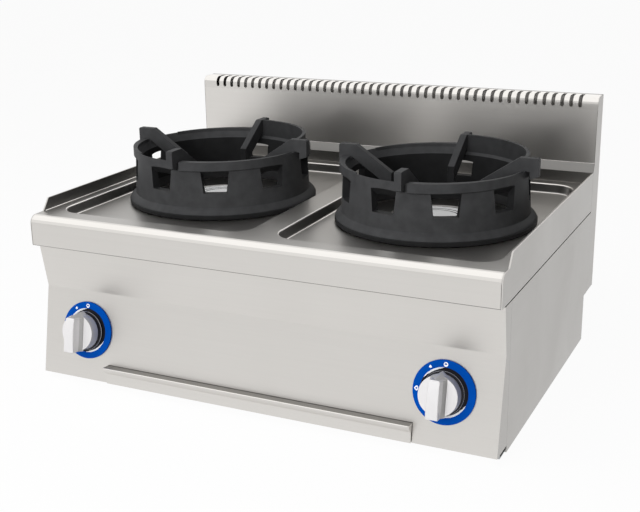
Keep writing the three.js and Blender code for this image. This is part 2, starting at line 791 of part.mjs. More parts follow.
function burnerCap() {
  const spigot = burnerRadius - burnerWall - capClearance;
  const flange = -capFlange;
  return turned([
    [0, -2 - capStep], [spigot - 4, -2 - capStep],
    [spigot - 4, flange - capSpigot], [spigot, flange - capSpigot],
    [spigot, flange], [capRadius - 1, flange], [capRadius, flange + 1], [capRadius, -2], [capRadius - 2, 0],
    [capStepRadius + 1, 0], [capStepRadius, -capStep], [capStepRadius - 1, 0], [0, 0],
  ], discSteps);
}

/** Lies along Y, from the pipe's union to the jet at its tip. */
function injector(length) {
  const neck = injectorHex + bracketSheet + 3;
  return turned([
    [0, 0], [injectorRadius, 0], [injectorRadius, injectorHex], [injectorNeck, injectorHex],
    [injectorNeck, neck], [injectorTip, length], [0, length],
  ], 6).rotate([-90, 0, 0]);
}

function injectorBracket(railFrontY, uprightY) {
  const low = railTopZ - bracketDrop;
  const path = [
    [railFrontY - seatGap, railTopZ], [railFrontY - seatGap, low], [uprightY, low],
    [uprightY, burnerBaseZ + venturiRise + injectorRadius + 4],
  ];
  const strip = extruded(sheet(path, bracketSheet), 'x', -bracketWidth / 2, bracketWidth / 2);
  const neck = circle(0, burnerBaseZ + venturiRise, injectorNeck + seatGap, 16);
  const hole = extruded(neck, 'y', uprightY - 2 * bracketSheet, uprightY + 2 * bracketSheet);
  return strip.subtract(hole);
}

function burnerRail(y) {
  const low = railTopZ - railHeight;
  const path = [
    [y - railWidth / 2, low], [y - railWidth / 2, railTopZ],
    [y + railWidth / 2, railTopZ], [y + railWidth / 2, low],
  ];
  const inside = halfWidth - panelSheet - seatGap;
  return extruded(sheet(path, panelSheet), 'x', -inside, inside);
}

function pilotBurner() {
  const head = turned([[0, 0], [4, 0], [4, 6], [2.5, 8], [0, 8]], 10);
  const block = box(0, pilotDepth, -pilotWidth / 2, pilotWidth / 2, -pilotLength, -8);
  return block.add(placed(head, pilotDepth / 2, -3, -9));
}

// ---------------------------------------------------------------- gas tap
function bezel() {
  const floor = bezelFloor + seatGap;
  return turned([
    [panelHoleRadius, seatGap], [bezelRadius, seatGap], [bezelRadius, bezelHeight - bezelEdge],
    [bezelRadius - bezelEdge, bezelHeight], [bezelCupRadius + bezelEdge, bezelHeight],
    [bezelCupRadius, floor], [panelHoleRadius, floor],
  ], discSteps);
}

function knob() {
  const rimTop = knobBackHeight + knobRimHeight;
  const skirt = turned([
    [0, knobHubBack], [knobHubRadius, knobHubBack], [knobHubRadius, knobBackHeight],
    [knobRimRadius, knobBackHeight], [knobRimRadius, rimTop], [knobRadius - 1, rimTop + 2],
    [knobRadius, rimTop + 3], [knobRadius, knobFaceHeight - 2], [knobRadius - 2, knobFaceHeight],
    [0, knobFaceHeight],
  ], discSteps);
  const half = gripWidth / 2;
  const side = [
    [-gripFootReach, knobFaceHeight - 5],
    [-gripFootReach, gripHeight - 3], [2 - gripFootReach, gripHeight - 1],
    [0, gripHeight], [gripTopReach - 4, gripHeight - gripCrown + 2], [gripTopReach, gripHeight - gripCrown],
    [gripTopReach, pointerHeight], [knobRadius - 1, knobFaceHeight - 2], [knobRadius - 5, knobFaceHeight - 5],
  ];
  const grip = extruded(side, 'x', -half, half);
  const bore = extruded(circle(0, 0, stemRadius + stemFit), 'z', knobHubBack - 1, stemHeight + 1);
  return skirt.add(grip).subtract(bore);
}

function tapStem() {
  return extruded(circle(0, 0, stemRadius), 'z', plugFront - stemTipBelowPlug, stemHeight);
}

function tapPlug() {
  const rim = plugRadius;
  return turned([
    [stemRadius + stemClearance, plugFront], [rim, plugFront], [rim - 1, plugBack], [0, plugBack],
    [0, plugBoreBottom], [stemRadius + stemClearance, plugBoreBottom],
  ].reverse());
}

function tapBody() {
  const block = box(
    -tapBodyHalfWidth, tapBodyHalfWidth, tapBodyFoot, tapBodyTop, tapBodyBack, tapBodyFront,
  );
  const boss = extruded(circle(0, 0, tapBossRadius), 'z', tapBodyFront - 1, -panelSheet - seatGap);
  const chamber = extruded(circle(0, 0, plugRadius + plugClearance), 'z', tapBodyBack - 1, plugFront + 1);
  const gland = extruded(circle(0, 0, stemRadius + stemClearance), 'z', plugFront, 1);
  return cutBy(block.add(boss), [chamber, gland]);
}

// ---------------------------------------------------------------- the assembly
const body = new THREE.Group();
body.add(
  part('worktop', worktop(), 'stainless'),
  part('front_panel', frontPanel(), 'stainless'),
  part('flue_riser', flueRiser(), 'stainless'),
  part('flue_cover', flueCover(), 'stainless'),
  part('base_plate', basePlate(), 'galvanised'),
  part('drip_tray', dripTray(), 'stainless'),
);

const railYs = [burnerY - railSpacing / 2, burnerY + railSpacing / 2];
body.add(part('burner_rail_front', burnerRail(railYs[0]), 'galvanised'));
body.add(part('burner_rail_rear', burnerRail(railYs[1]), 'galvanised'));

// places on a tap's own axes: across, up the slope, and out of the panel
function tapPoint(sign, across, up, out) {
  const s = Math.sin(slopeAngle);
  const c = Math.cos(slopeAngle);
  return [sign * (tapX + across), tapY + s * up - c * out, tapZ + c * up + s * out];
}

const manifoldCentre = tapPoint(1, 0, manifoldDrop, manifoldBack);
const inletX = tapX + manifoldOverrun + elbowRadius;
const uprightY = burnerY - venturiLength - injectorGap - injectorHex - bracketSheet;
const injectorLength = injectorHex * 2 + bracketSheet;
const unionY = uprightY - injectorHex - 2 * seatGap;

body.add(part('lower_back', lowerBack(inletX, manifoldCentre[2]), 'galvanised'));

function manifold() {
  const end = tapX + manifoldOverrun;
  const [, y, z] = manifoldCentre;
  const bore = circle(y, z, manifoldRadius - manifoldWall, 16).reverse();
  return extruded(circle(y, z, manifoldRadius, 16), 'x', -end, end, [bore]);
}

function manifoldElbow() {
  const [, y, z] = manifoldCentre;
  const section = circle(elbowRadius, 0, manifoldRadius + elbowWall);
  const bent = sweptRound(() => section, -90, 0, arcSteps);
  return placed(bent, tapX + manifoldOverrun + seatGap, y + elbowRadius, z);
}

function inletPipe() {
  const [, y, z] = manifoldCentre;
  const x = tapX + manifoldOverrun + seatGap + elbowRadius;
  return extruded(
    circle(x, z, manifoldRadius, 16), 'y', y + elbowRadius + seatGap, lowerBackY + inletReach,
    [circle(x, z, manifoldRadius - manifoldWall, 16).reverse()],
  );
}

function manifoldPlug() {
  const [, y, z] = manifoldCentre;
  const end = -tapX - manifoldOverrun - seatGap;
  return extruded(circle(y, z, manifoldRadius + elbowWall, 6), 'x', end - manifoldRadius, end);
}

body.add(part('gas_manifold', manifold(), 'galvanised'));
body.add(part('manifold_elbow', manifoldElbow(), 'brass'));
body.add(part('manifold_plug', manifoldPlug(), 'brass'));
body.add(part('gas_inlet', inletPipe(), 'galvanised'));

/** The bent pipe from a tap to its injector, with the union nut at the tap. */
function supplyPipe(sign) {
  const back = tapBodyBack - seatGap;
  const route = [
    tapPoint(sign, 0, 0, back), tapPoint(sign, 0, 0, back - supplyStart),
    [sign * (tapX - supplyLowBend[0]), unionY + supplyLowBend[1], tapZ + supplyLowBend[2]],
    [sign * (burnerX + supplyHighBend[0]), unionY - supplyHighBend[1], tapZ + supplyHighBend[2]],
    [sign * burnerX, unionY - supplyTurn[0], burnerBaseZ + venturiRise - supplyTurn[1]],
    [sign * burnerX, unionY - supplyEntry, burnerBaseZ + venturiRise],
    [sign * burnerX, unionY, burnerBaseZ + venturiRise],
  ];
  const nut = extruded(circle(0, 0, unionNutRadius, 6), 'z', back - unionNutLength, back)
    .rotate([90 - THREE.MathUtils.radToDeg(slopeAngle), 0, 0]);
  return pipe(route, supplyPipeRadius, 14).add(placed(nut, sign * tapX, tapY, tapZ));
}

/** A thin line from the tap's shoulder up to the pilot between the rails. */
function pilotLine(sign, across, pilotX, pilotY, topZ) {
  const [lowIn, lowFront, lowRise] = lineLowBend;
  const [highOut, highFront, highRise] = lineHighBend;
  const route = [
    tapPoint(sign, across, tapBodyTop + seatGap, -lineFoot[0]),
    tapPoint(sign, across, tapBodyTop + lineStart, -lineFoot[1]),
    [sign * (tapX - lowIn + across), burnerY - lowFront + across, tapZ + lowRise + across],
    [sign * (pilotX + highOut), burnerY - highFront, tapZ + highRise],
    [sign * pilotX, pilotY, tapZ + lineTurn], [sign * pilotX, pilotY, topZ - lineEntry],
    [sign * pilotX, pilotY, topZ],
  ];
  return pipe(route, pilotPipeRadius, 14, linePipeSides);
}

sides.forEach(({ name, sign }) => {
  body.add(part(`side_panel_${name}`, sidePanel(sign), 'stainless'));
  body.add(part(`tray_runner_${name}`, trayRunner(sign), 'galvanised'));
  body.add(part(`supply_pipe_${name}`, supplyPipe(sign), 'copper'));

  const postX = sign * (tapX - postInset);
  const [, postY, postTop] = manifoldCentre;
  const half = postSize / 2;
  const postFoot = baseSheetZ + panelSheet + seatGap;
  body.add(part(
    `manifold_post_${name}`,
    box(postX - half, postX + half, postY - half, postY + half, postFoot, postTop - manifoldRadius - seatGap),
    'galvanised',
  ));

  const hob = new THREE.Group();
  hob.position.set(sign * burnerX, burnerY, 0);
  const ring = part(`wok_ring_${name}`, wokRing(), 'castIron');
  ring.position.z = ringBaseZ;
  const burner = part(`burner_body_${name}`, burnerBody(), 'castIron');
  burner.position.z = burnerBaseZ;
  const cap = part(`burner_cap_${name}`, burnerCap(), 'brightSteel');
  cap.position.z = capTopZ;
  const jet = part(`injector_${name}`, injector(injectorLength), 'brass');
  jet.position.set(0, unionY - burnerY + seatGap, burnerBaseZ + venturiRise);
  const bracket = part(
    `injector_bracket_${name}`,
    injectorBracket(railYs[0] - railWidth / 2 - burnerY, uprightY - burnerY),
    'galvanised',
  );
  const pilotOffset = burnerRadius + seatGap;
  const pilotTop = capTopZ - pilotTopBelowCap;
  const head = pilotBurner();
  const pilot = part(`pilot_burner_${name}`, sign > 0 ? head.mirror([1, 0, 0]) : head, 'brass');
  pilot.position.set(-sign * pilotOffset, 0, pilotTop);
  hob.add(ring, burner, cap, jet, bracket, pilot);
  body.add(hob);

  const pilotX = burnerX - pilotOffset - pilotDepth / 2;
  const probeX = burnerX - pilotOffset - pilotDepth - seatGap - thermocoupleRadius;
  body.add(part(
    `pilot_line_${name}`,
    pilotLine(sign, lineSpacing / 2, pilotX, burnerY, pilotTop - pilotLength - seatGap), 'copper',
  ));
  const probe = pilotLine(sign, -lineSpacing / 2, probeX, burnerY, pilotTop);
  body.add(part(`thermocouple_${name}`, probe, 'copper'));

  const tap = new THREE.Group();
  tap.position.set(sign * tapX, tapY, tapZ);
  tap.rotation.x = Math.PI / 2 - slopeAngle;
  tap.add(
    part(`tap_body_${name}`, tapBody(), 'brass'),
    part(`tap_plug_${name}`, tapPlug(), 'brass'),
    part(`tap_stem_${name}`, tapStem(), 'brightSteel'),
    part(`bezel_${name}`, bezel(), 'blueEnamel'),
    part(`knob_${name}`, knob(), 'satinKnob'),
  );
  body.add(tap);
});

const screwXs = [-halfWidth + 40, 0, halfWidth - 40];
const screwZs = [ductBottomZ + screwInset + screwRadius, riserTopZ - screwInset - screwRadius];
screwZs.forEach((z, row) => screwXs.forEach((x, column) => {
  const screw = part(`cover_screw_${row * screwXs.length + column + 1}`, coverScrew(), 'brightSteel');
  screw.rotation.x = -Math.PI / 2;
  screw.position.set(x, bodyDepth + seatGap, z);
  body.add(screw);
}));

// the origin is on the ground under the middle of the whole range, knobs included
const group = new THREE.Group();
body.updateMatrixWorld(true);
const reach = new THREE.Box3().setFromObject(body, true);
body.position.y = -(reach.min.y + reach.max.y) / 2;
group.add(body);

export default group;
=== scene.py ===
"""A counter-top gas wok range: detailed pieces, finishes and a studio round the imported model.

All sizes below are in millimetres on the range's own axes: x to the right, y back from the apron's
front face, z up from the counter. at() turns them into Blender's metres.
"""

import math

import bmesh
import bpy
from bpy.props import FloatProperty, FloatVectorProperty, IntProperty, PointerProperty
from bpy.types import Operator, Panel, PropertyGroup
from mathutils import Matrix, Vector


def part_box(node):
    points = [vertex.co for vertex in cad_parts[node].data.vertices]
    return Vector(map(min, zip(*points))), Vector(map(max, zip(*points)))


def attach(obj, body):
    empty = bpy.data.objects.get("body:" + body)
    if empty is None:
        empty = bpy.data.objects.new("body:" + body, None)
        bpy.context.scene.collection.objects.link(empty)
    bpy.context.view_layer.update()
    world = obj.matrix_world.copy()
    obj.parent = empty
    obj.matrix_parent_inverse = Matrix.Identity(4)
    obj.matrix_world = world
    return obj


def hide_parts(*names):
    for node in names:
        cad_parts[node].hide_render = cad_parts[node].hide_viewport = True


bl_info = {
    "name": "Gas wok range",
    "version": (1, 0, 0),
    "blender": (4, 5, 0),
    "location": "3D View > Sidebar > Wok range",
    "description": "Builds the visible pieces, finishes and studio of a gas wok range",
    "category": "Object",
}

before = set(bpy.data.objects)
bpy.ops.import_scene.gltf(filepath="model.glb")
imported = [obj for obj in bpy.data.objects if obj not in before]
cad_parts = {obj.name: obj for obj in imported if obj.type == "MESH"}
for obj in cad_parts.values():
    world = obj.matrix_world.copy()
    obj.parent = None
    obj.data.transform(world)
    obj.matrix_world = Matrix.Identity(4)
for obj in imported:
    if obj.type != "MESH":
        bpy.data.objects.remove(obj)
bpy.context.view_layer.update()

MM = 0.001
SIDES = {"left": -1, "right": 1}

# body
HALF = 400.0
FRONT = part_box("worktop")[0][1]
SHEET = 1.5

# worktop
TOP = 287.0
APRON_FOOT = 236.5
APRON_RETURN = 24.0
BULLNOSE = 14.0
FLANGE = 3.0
FLANGE_TOP = 307.0
FLANGE_START = 33.0
FLANGE_RAKE = 15.0
TOP_REAR = 556.7
WELL_HALF_X = 176.5
WELL_Y = (45.0, 532.0)
WELL_CORNER = 36.0
WELL_FLOOR = 270.5
BURNER_HOLE = 80.0
HOLE_COLLAR = 3.0

# places shared by burner, ring and well
BURNER_X = 200.5
BURNER_Y = 288.5
RING_BASE = 270.8
CAP_TOP = 276.0

# flue
FLUE_TOP = 440.0
FLUE_FOOT_Y = 557.0
FLUE_FACE_Y = 565.0
FLUE_EDGE = 12.0
FLUE_REAR = 603.2
FLUE_BOTTOM = 84.0
SLOT_PITCH = 16.0
SLOT_COUNT = 47
SLOT_HALF = 3.25
SLOT_FOOT = 421.0
SLOT_REAR = 593.5

# front panel, corners of its outer face
PANEL_TOP = (17.5, 235.0)
CREASE = (31.0, 158.0)
PANEL_FOOT = (2.5, 11.0)
PANEL_REAR = 49.5
MOUTH_HALF = 270.5
MOUTH_TOP = 41.0

# drip tray
FASCIA_HALF = 270.0
PAN_HALF = 267.0
PAN_Y = (6.0, 466.0)
PAN_FLOOR = 12.0
PAN_TOP = 37.0

# taps, on the panel's lower slope
SLOPE = math.atan2(CREASE[0] - PANEL_FOOT[0], CREASE[1] - PANEL_FOOT[1])
TAP_X = 314.2
TAP_UP = 83.5

# wok ring, heights from its own base
RIM = 95.0
RIM_RADIUS = 151.0
WALL_RADIUS = 154.0
BORE = 140.0
SKIRT = 165.5
LIP_DROP = 14.0
WINDOW_FOOT = RIM - 52
FINGER_TIP = 75.0
FINGER_TOP = RIM + 20

# brushed sheets: share of the steel's colour, and how the lines are stretched; a share above 1 is painted
# highlight or painted light, a share below 1 is painted shade
ALONG_X = (14, 1100, 1100)
SHEETS = {
    "sheet_across": (1.0, ALONG_X),
    "sheet_riser": (1.06, ALONG_X),
    "sheet_crown": (1.42, ALONG_X),
    "sheet_roll": (1.16, ALONG_X),
    "sheet_top": (0.72, ALONG_X),
    "sheet_ledge": (0.52, ALONG_X),
    "sheet_foot": (0.40, ALONG_X),
    "sheet_shade": (0.17, ALONG_X),
    "sheet_drawn": (0.55, (500, 500, 500)),
    "sheet_deep": (0.60, (1100, 14, 1100)),
}
# darker copies of the iron: painted half shade inside the guard, and painted shade below the flange's groove,
# under the lips, in the windows and in the bore
CASTINGS = {"black_casting": 1.0, "casting_mid": 0.62, "casting_shade": 0.34}


# ---------------------------------------------------------------- settings a user would change
class WokRangeSizes(PropertyGroup):
    """Sizes of the details that the pieces are built with."""

    crease_radius: FloatProperty(
        name="Crease radius", description="Inside bend of the concave front", default=0.010, unit="LENGTH"
    )
    well_edge: FloatProperty(
        name="Well edge", description="Radius pressed round the top of each well",
        default=0.003, unit="LENGTH"
    )
    well_fillet: FloatProperty(
        name="Well fillet", description="Radius between well wall and floor", default=0.004, unit="LENGTH"
    )
    sheet_edge: FloatProperty(
        name="Sheet edge", description="Rounding of folded sheet corners", default=0.0009, unit="LENGTH"
    )
    lip_overhang: FloatProperty(
        name="Lip overhang", description="How far the ring's spiral lip starts out",
        default=0.010, unit="LENGTH"
    )
    casting_edge: FloatProperty(
        name="Casting edge", description="Rounding of the rings' edges", default=0.0007, unit="LENGTH"
    )
    disc_steps: IntProperty(
        name="Disc steps", description="Sides of turned pieces", default=96, min=24, max=256
    )


class WokRangeColours(PropertyGroup):
    """Colours and gloss of the finishes."""

    steel: FloatVectorProperty(
        name="Stainless", description="Brushed sheet", subtype="COLOR", default=(0.68, 0.66, 0.632)
    )
    steel_roughness: FloatProperty(
        name="Stainless roughness", description="Blur of the sheet's reflections",
        default=0.36, subtype="FACTOR"
    )
    polished: FloatVectorProperty(
        name="Polished steel", description="Cover screws and tap stems",
        subtype="COLOR", default=(0.86, 0.86, 0.86)
    )
    zinc: FloatVectorProperty(
        name="Zinc", description="Galvanised sheets and pipes", subtype="COLOR", default=(0.46, 0.47, 0.48)
    )
    iron: FloatVectorProperty(
        name="Cast iron", description="Black enamelled castings",
        subtype="COLOR", default=(0.044, 0.0445, 0.046)
    )
    brass: FloatVectorProperty(
        name="Brass", description="Taps, unions and jets", subtype="COLOR", default=(0.62, 0.43, 0.16)
    )
    copper: FloatVectorProperty(
        name="Copper", description="Thin gas lines", subtype="COLOR", default=(0.66, 0.30, 0.15)
    )
    blue: FloatVectorProperty(
        name="Plate blue", description="Round plates behind the knobs",
        subtype="COLOR", default=(0.0, 0.058, 0.335)
    )
    # this white is the printed marks and also the highlight painted on the plates' bevel
    white: FloatVectorProperty(
        name="Mark white", description="Printed marks", subtype="COLOR", default=(0.86, 0.87, 0.9)
    )
    knob: FloatVectorProperty(
        name="Knob silver", description="Metallised knobs", subtype="COLOR", default=(0.665, 0.655, 0.66)
    )
    # a darker copy of the knob silver: painted shade on the knobs' skirt, groove, flared foot and pointer
    knob_painted_shade: FloatVectorProperty(
        name="Knob side", description="Knobs' skirt, groove and pointer",
        subtype="COLOR", default=(0.47, 0.465, 0.46)
    )


class WokRangeStudio(PropertyGroup):
    """Light and backdrop."""

    sky: FloatProperty(name="Sky", description="Strength of the even light", default=0.15)
    key: FloatProperty(name="Key light", description="Overhead soft box", default=30.0, unit="POWER")
    left: FloatProperty(name="Left light", description="Soft box on the left", default=7.0, unit="POWER")
    front: FloatProperty(name="Front light", description="Soft box in front", default=62.0, unit="POWER")
    backdrop: FloatVectorProperty(
        name="Backdrop", description="White of floor and background",
        subtype="COLOR", default=(0.98, 0.98, 0.98)
    )


def sizes():
    return bpy.context.scene.wok_range_sizes


def colours():
    return bpy.context.scene.wok_range_colours


# ---------------------------------------------------------------- places
def at(x, y, z):
    """A point in metres from millimetres on the range's own axes."""
    return Vector((x * MM, FRONT + y * MM, z * MM))


def in_millimetres(point):
    """The range's own x, y and z of a point in metres."""
    return point.x / MM, (point.y - FRONT) / MM, point.z / MM


def tap_axes(sign):
    """A tap's foot on the panel, and the directions across, up the slope and out."""
    across = Vector((1, 0, 0))
    up = Vector((0, math.sin(SLOPE), math.cos(SLOPE)))
    out = Vector((0, -math.cos(SLOPE), math.sin(SLOPE)))
    return at(sign * TAP_X, PANEL_FOOT[0], PANEL_FOOT[1]) + up * (TAP_UP * MM), across, up, out


def on_tap(sign):
    """Places points given across, up the slope and out of the panel at a tap."""
    foot, across, up, out = tap_axes(sign)
    return lambda u, v, h: foot + (across * u + up * v + out * h) * MM


def from_tap(sign):
    """Measures a point across, up and out at a tap."""
    foot, across, up, out = tap_axes(sign)
    return lambda point: tuple((point - foot).dot(axis) / MM for axis in (across, up, out))


def on_burner(sign, base):
    """Places points given from a burner's axis, above a height."""
    return lambda x, y, z: at(sign * BURNER_X + x, BURNER_Y + y, base + z)


# ---------------------------------------------------------------- outlines
def arc(a, b, radius, start, end, steps):
    """Points round a centre, between two angles in degrees."""
    turns = (math.radians(start + (end - start) * i / steps) for i in range(steps + 1))
    return [(a + radius * math.cos(t), b + radius * math.sin(t)) for t in turns]


def circle(radius, steps, a=0.0, b=0.0):
    return arc(a, b, radius, 0, 360 - 360 / steps, steps - 1)


def bend(before, corner, after, radius, steps):
    """Points of the arc that rounds a corner of a path."""
    c = Vector(corner)
    one = (Vector(before) - c).normalized()
    two = (Vector(after) - c).normalized()
    half = one.angle(two) / 2
    centre = c + (one + two).normalized() * (radius / math.sin(half))
    reach = radius / math.tan(half)
    first = c + one * reach - centre
    last = c + two * reach - centre
    start = math.atan2(first.y, first.x)
    turn = math.atan2(last.y, last.x) - start
    turn = (turn + math.pi) % (2 * math.pi) - math.pi
    return [
        (centre.x + radius * math.cos(angle), centre.y + radius * math.sin(angle))
        for angle in (start + turn * i / steps for i in range(steps + 1))
    ]


def folded(corners, radius, steps=6):
    """A path with every inner corner rounded."""
    path = [corners[0]]
    for before, corner, after in zip(corners, corners[1:], corners[2:]):
        path += bend(before, corner, after, radius, steps)
    return path + [corners[-1]]


def rounded_corners(corners, radius, steps):
    """A closed outline with every corner rounded."""
    count = len(corners)
    outline = []
    for i in range(count):
        outline += bend(corners[i - 1], corners[i], corners[(i + 1) % count], radius, steps)
    return outline


def sheet_outline(path, thickness):
    """A closed outline of a sheet that lies to the right of a path."""
    points = [Vector(p) for p in path]
    normals = []
    for a, b in zip(points, points[1:]):
        along = (b - a).normalized()
        normals.append(Vector((along.y, -along.x)))
    inner = []
    for i, p in enumerate(points):
        a = normals[max(i - 1, 0)]
        b = normals[min(i, len(normals) - 1)]
        inner.append(tuple(p + (a + b) * (thickness / (1 + a.dot(b)))))
    return [tuple(p) for p in points] + inner[::-1]


def rectangle(x0, x1, y0, y1):
    return [(x0, y0), (x1, y0), (x1, y1), (x0, y1)]


def rounded_box(x0, x1, y0, y1, radius, steps):
    centres = rectangle(x0 + radius, x1 - radius, y0 + radius, y1 - radius)
    outline = []
    for start, (x, y) in zip((0, 90, 180, 270), centres[2:] + centres[:2]):
        outline += arc(x, y, radius, start, start + 90, steps)
    return outline


# ---------------------------------------------------------------- mesh making
def loft(bm, loops, closed=True, ring=False, caps=True):
    """Faces between loops of points, with ends capped unless the loops run round in a ring."""
    rows = [[bm.verts.new(p) for p in loop] for loop in loops]
    count = len(rows[0])
    pairs = list(zip(rows, rows[1:])) + ([(rows[-1], rows[0])] if ring else [])
    for low, high in pairs:
        for i in range(count if closed else count - 1):
            j = (i + 1) % count
            bm.faces.new((low[i], low[j], high[j], high[i]))
    if caps and closed and not ring:
        bm.faces.new(rows[0][::-1])
        bm.faces.new(rows[-1])
    return rows


def prism(bm, outline, axis, start, end):
    """A closed outline pushed out along x, y or z."""
    to_point = {
        "x": lambda t, a, b: (t, a, b),
        "y": lambda t, a, b: (a, t, b),
        "z": lambda t, a, b: (a, b, t),
    }[axis]
    return loft(bm, [[to_point(t, a, b) for a, b in outline] for t in (start, end)])


def lathe(bm, profile, steps, centre=(0.0, 0.0), open_ends=False):
    """A profile of radius and height turned about an upright axis; open_ends if it starts and ends on it."""
    loops = []
    for i in range(steps):
        turn = 2 * math.pi * i / steps
        loops.append([
            (centre[0] + r * math.cos(turn), centre[1] + r * math.sin(turn), z) for r, z in profile
        ])
    return loft(bm, loops, closed=not open_ends, ring=True)


def swept_round(bm, section_at, start, end, steps):
    """A section of radius and height carried round an axis, changing on its way."""
    loops = []
    for i in range(steps + 1):
        turn = math.radians(start + (end - start) * i / steps)
        loops.append([(r * math.cos(turn), r * math.sin(turn), z) for r, z in section_at(i / steps)])
    return loft(bm, loops)


def turned_about_z(bm, rows, degrees):
    """Turns the two rows of points of a straight shape about the upright axis."""
    verts = rows[0] + rows[1]
    bmesh.ops.rotate(bm, verts=verts, cent=(0, 0, 0), matrix=Matrix.Rotation(math.radians(degrees), 3, "Z"))


def flat_fill(bm, loops, z):
    """Flat faces between an outer loop and the holes inside it."""
    edges = []
    for loop in loops:
        verts = [bm.verts.new((x, y, z)) for x, y in loop]
        edges += [bm.edges.new((verts[i - 1], verts[i])) for i in range(len(verts))]
    return bmesh.ops.triangle_fill(bm, edges=edges, use_beauty=True)["geom"]


def sheet(bm, xs, path):
    """An open sheet along x, from a path of y and z."""
    loft(bm, [[(x, y, z) for y, z in path] for x in xs], closed=False)


def mesh_from(name, bm):
    mesh = bpy.data.meshes.new(name)
    bm.to_mesh(mesh)
    bm.free()
    return mesh


def add_object(name, data):
    piece = bpy.data.objects.new(name, data)
    bpy.context.collection.objects.link(piece)
    return piece


def new_object(name, bm, place):
    """Turns a mesh in millimetres into an object in metres."""
    bmesh.ops.remove_doubles(bm, verts=bm.verts, dist=0.002)
    for vert in bm.verts:
        vert.co = place(*vert.co)
    bmesh.ops.recalc_face_normals(bm, faces=bm.faces)
    return add_object(name, mesh_from(name, bm))


def build(name, place, maker, *rows):
    """An object from one kind of shape, made once for every row of values."""
    bm = bmesh.new()
    for row in rows:
        maker(bm, *row)
    return new_object(name, bm, place)


def modify(piece, kind, **settings):
    """Applies a modifier and keeps the result as the piece's mesh."""
    modifier = piece.modifiers.new(kind.lower(), kind)
    for key, value in settings.items():
        setattr(modifier, key, value)
    depsgraph = bpy.context.evaluated_depsgraph_get()
    mesh = bpy.data.meshes.new_from_object(piece.evaluated_get(depsgraph))
    piece.modifiers.clear()
    piece.data = mesh


def cut_with(piece, tool, operation="DIFFERENCE"):
    modify(piece, "BOOLEAN", operation=operation, solver="EXACT", object=tool)
    bpy.data.objects.remove(tool)


def round_edges(piece, width, segments, angle):
    """Rounds the edges that are sharper than an angle."""
    modify(
        piece, "BEVEL", width=width, segments=segments, limit_method="ANGLE", angle_limit=math.radians(angle)
    )
    return piece


def thicken(piece, outward, thickness):
    """Gives an open sheet its thickness, away from the side that its largest face has to show."""
    face = max(piece.data.polygons, key=lambda polygon: polygon.area)
    if face.normal.dot(Vector(outward)) < 0:
        piece.data.flip_normals()
    modify(piece, "SOLIDIFY", thickness=thickness, offset=-1, use_even_offset=True)


def finish_piece(piece, finishes, body, replaced, sharp, paint=None, measure=in_millimetres):
    """Gives a piece its finishes, the CAD body it moves with and the CAD nodes it stands for."""
    mesh = piece.data
    mesh.materials.clear()
    for name in finishes:
        mesh.materials.append(finish(name))
    if paint:
        for face in mesh.polygons:
            face.material_index = finishes.index(paint(*measure(face.center), face.normal))
    mesh.polygons.foreach_set("use_smooth", [True] * len(mesh.polygons))
    mesh.set_sharp_from_angle(angle=math.radians(sharp))
    piece.modifiers.new("flat faces", "WEIGHTED_NORMAL").keep_sharp = True
    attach(piece, body)
    if replaced:
        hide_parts(*replaced)


def joined(pieces, name):
    """One object from several."""
    bm = bmesh.new()
    for piece in pieces:
        bm.from_mesh(piece.data)
        bpy.data.objects.remove(piece)
    return add_object(name, mesh_from(name, bm))


def copied(piece, name, shift):
    """A twin of a piece in the same mesh, moved in metres."""
    mesh = piece.data.copy()
    mesh.transform(Matrix.Translation(shift))
    return add_object(name, mesh)


# ---------------------------------------------------------------- shader groups
def node(tree, kind, inputs=None, **settings):
    """A node whose inputs take plain values or other nodes' outputs."""
    made = tree.nodes.new(kind)
    for key, value in settings.items():
        setattr(made, key, value)
    for key, value in (inputs or {}).items():
        if isinstance(value, bpy.types.NodeSocket):
            tree.links.new(value, made.inputs[key])
        else:
            made.inputs[key].default_value = value
    return made


def calculate(tree, operation, *values, kind="ShaderNodeMath"):
    return node(tree, kind, dict(enumerate(values)), operation=operation).outputs[0]


def noise(tree, place, **values):
    return node(tree, "ShaderNodeTexNoise", {"Vector": place, **values}).outputs["Fac"]


def stretch_range(tree, value, **limits):
    """A value brought from one range to another; the limits are named as the node names them."""
    inputs = {key.replace("_", " "): limit for key, limit in limits.items()}
    return node(tree, "ShaderNodeMapRange", {"Value": value, **inputs}).outputs[0]


def brushed_sheet(tree, given):
    """Fine parallel lines of a brushed sheet, longest along the axis with the smallest stretch."""
    place = calculate(tree, "MULTIPLY", given["Vector"], given["Stretch"], kind="ShaderNodeVectorMath")
    fine = noise(tree, place, Scale=1.0, Detail=3.0, Roughness=0.6)
    wide = noise(tree, place, Scale=0.23, Detail=2.0, Roughness=0.5)
    tone = calculate(tree, "MULTIPLY_ADD", wide, 0.55, calculate(tree, "MULTIPLY", fine, 0.45))
    return {"Lines": fine, "Tone": tone}


def handling_marks(tree, given):
    """Soft patches where a sheet was wiped and touched."""
    soft = noise(tree, given["Vector"], Scale=given["Size"], Detail=4.0, Roughness=0.55, Distortion=0.6)
    return {"Patches": stretch_range(tree, soft, From_Min=0.35, From_Max=0.68)}


def casting_skin(tree, given):
    """The skin of a sand casting: fine grain over slow waves."""
    grain = noise(tree, given["Vector"], Scale=given["Grain"], Detail=3.0, Roughness=0.65)
    waves = noise(tree, given["Vector"], Scale=55.0, Detail=2.0)
    tone = stretch_range(tree, waves, From_Min=0.3, From_Max=0.7)
    return {"Relief": calculate(tree, "MULTIPLY_ADD", waves, 1.6, grain), "Tone": tone}


# each group's contents, its outputs, and its input beside the place with that input's kind and usual value
SHADER_GROUPS = {
    "Brushed sheet": (brushed_sheet, ("Lines", "Tone"), ("Stretch", "NodeSocketVector", (12, 900, 900))),
    "Handling marks": (handling_marks, ("Patches",), ("Size", "NodeSocketFloat", 7.0)),
    "Casting skin": (casting_skin, ("Relief", "Tone"), ("Grain", "NodeSocketFloat", 620.0)),
}


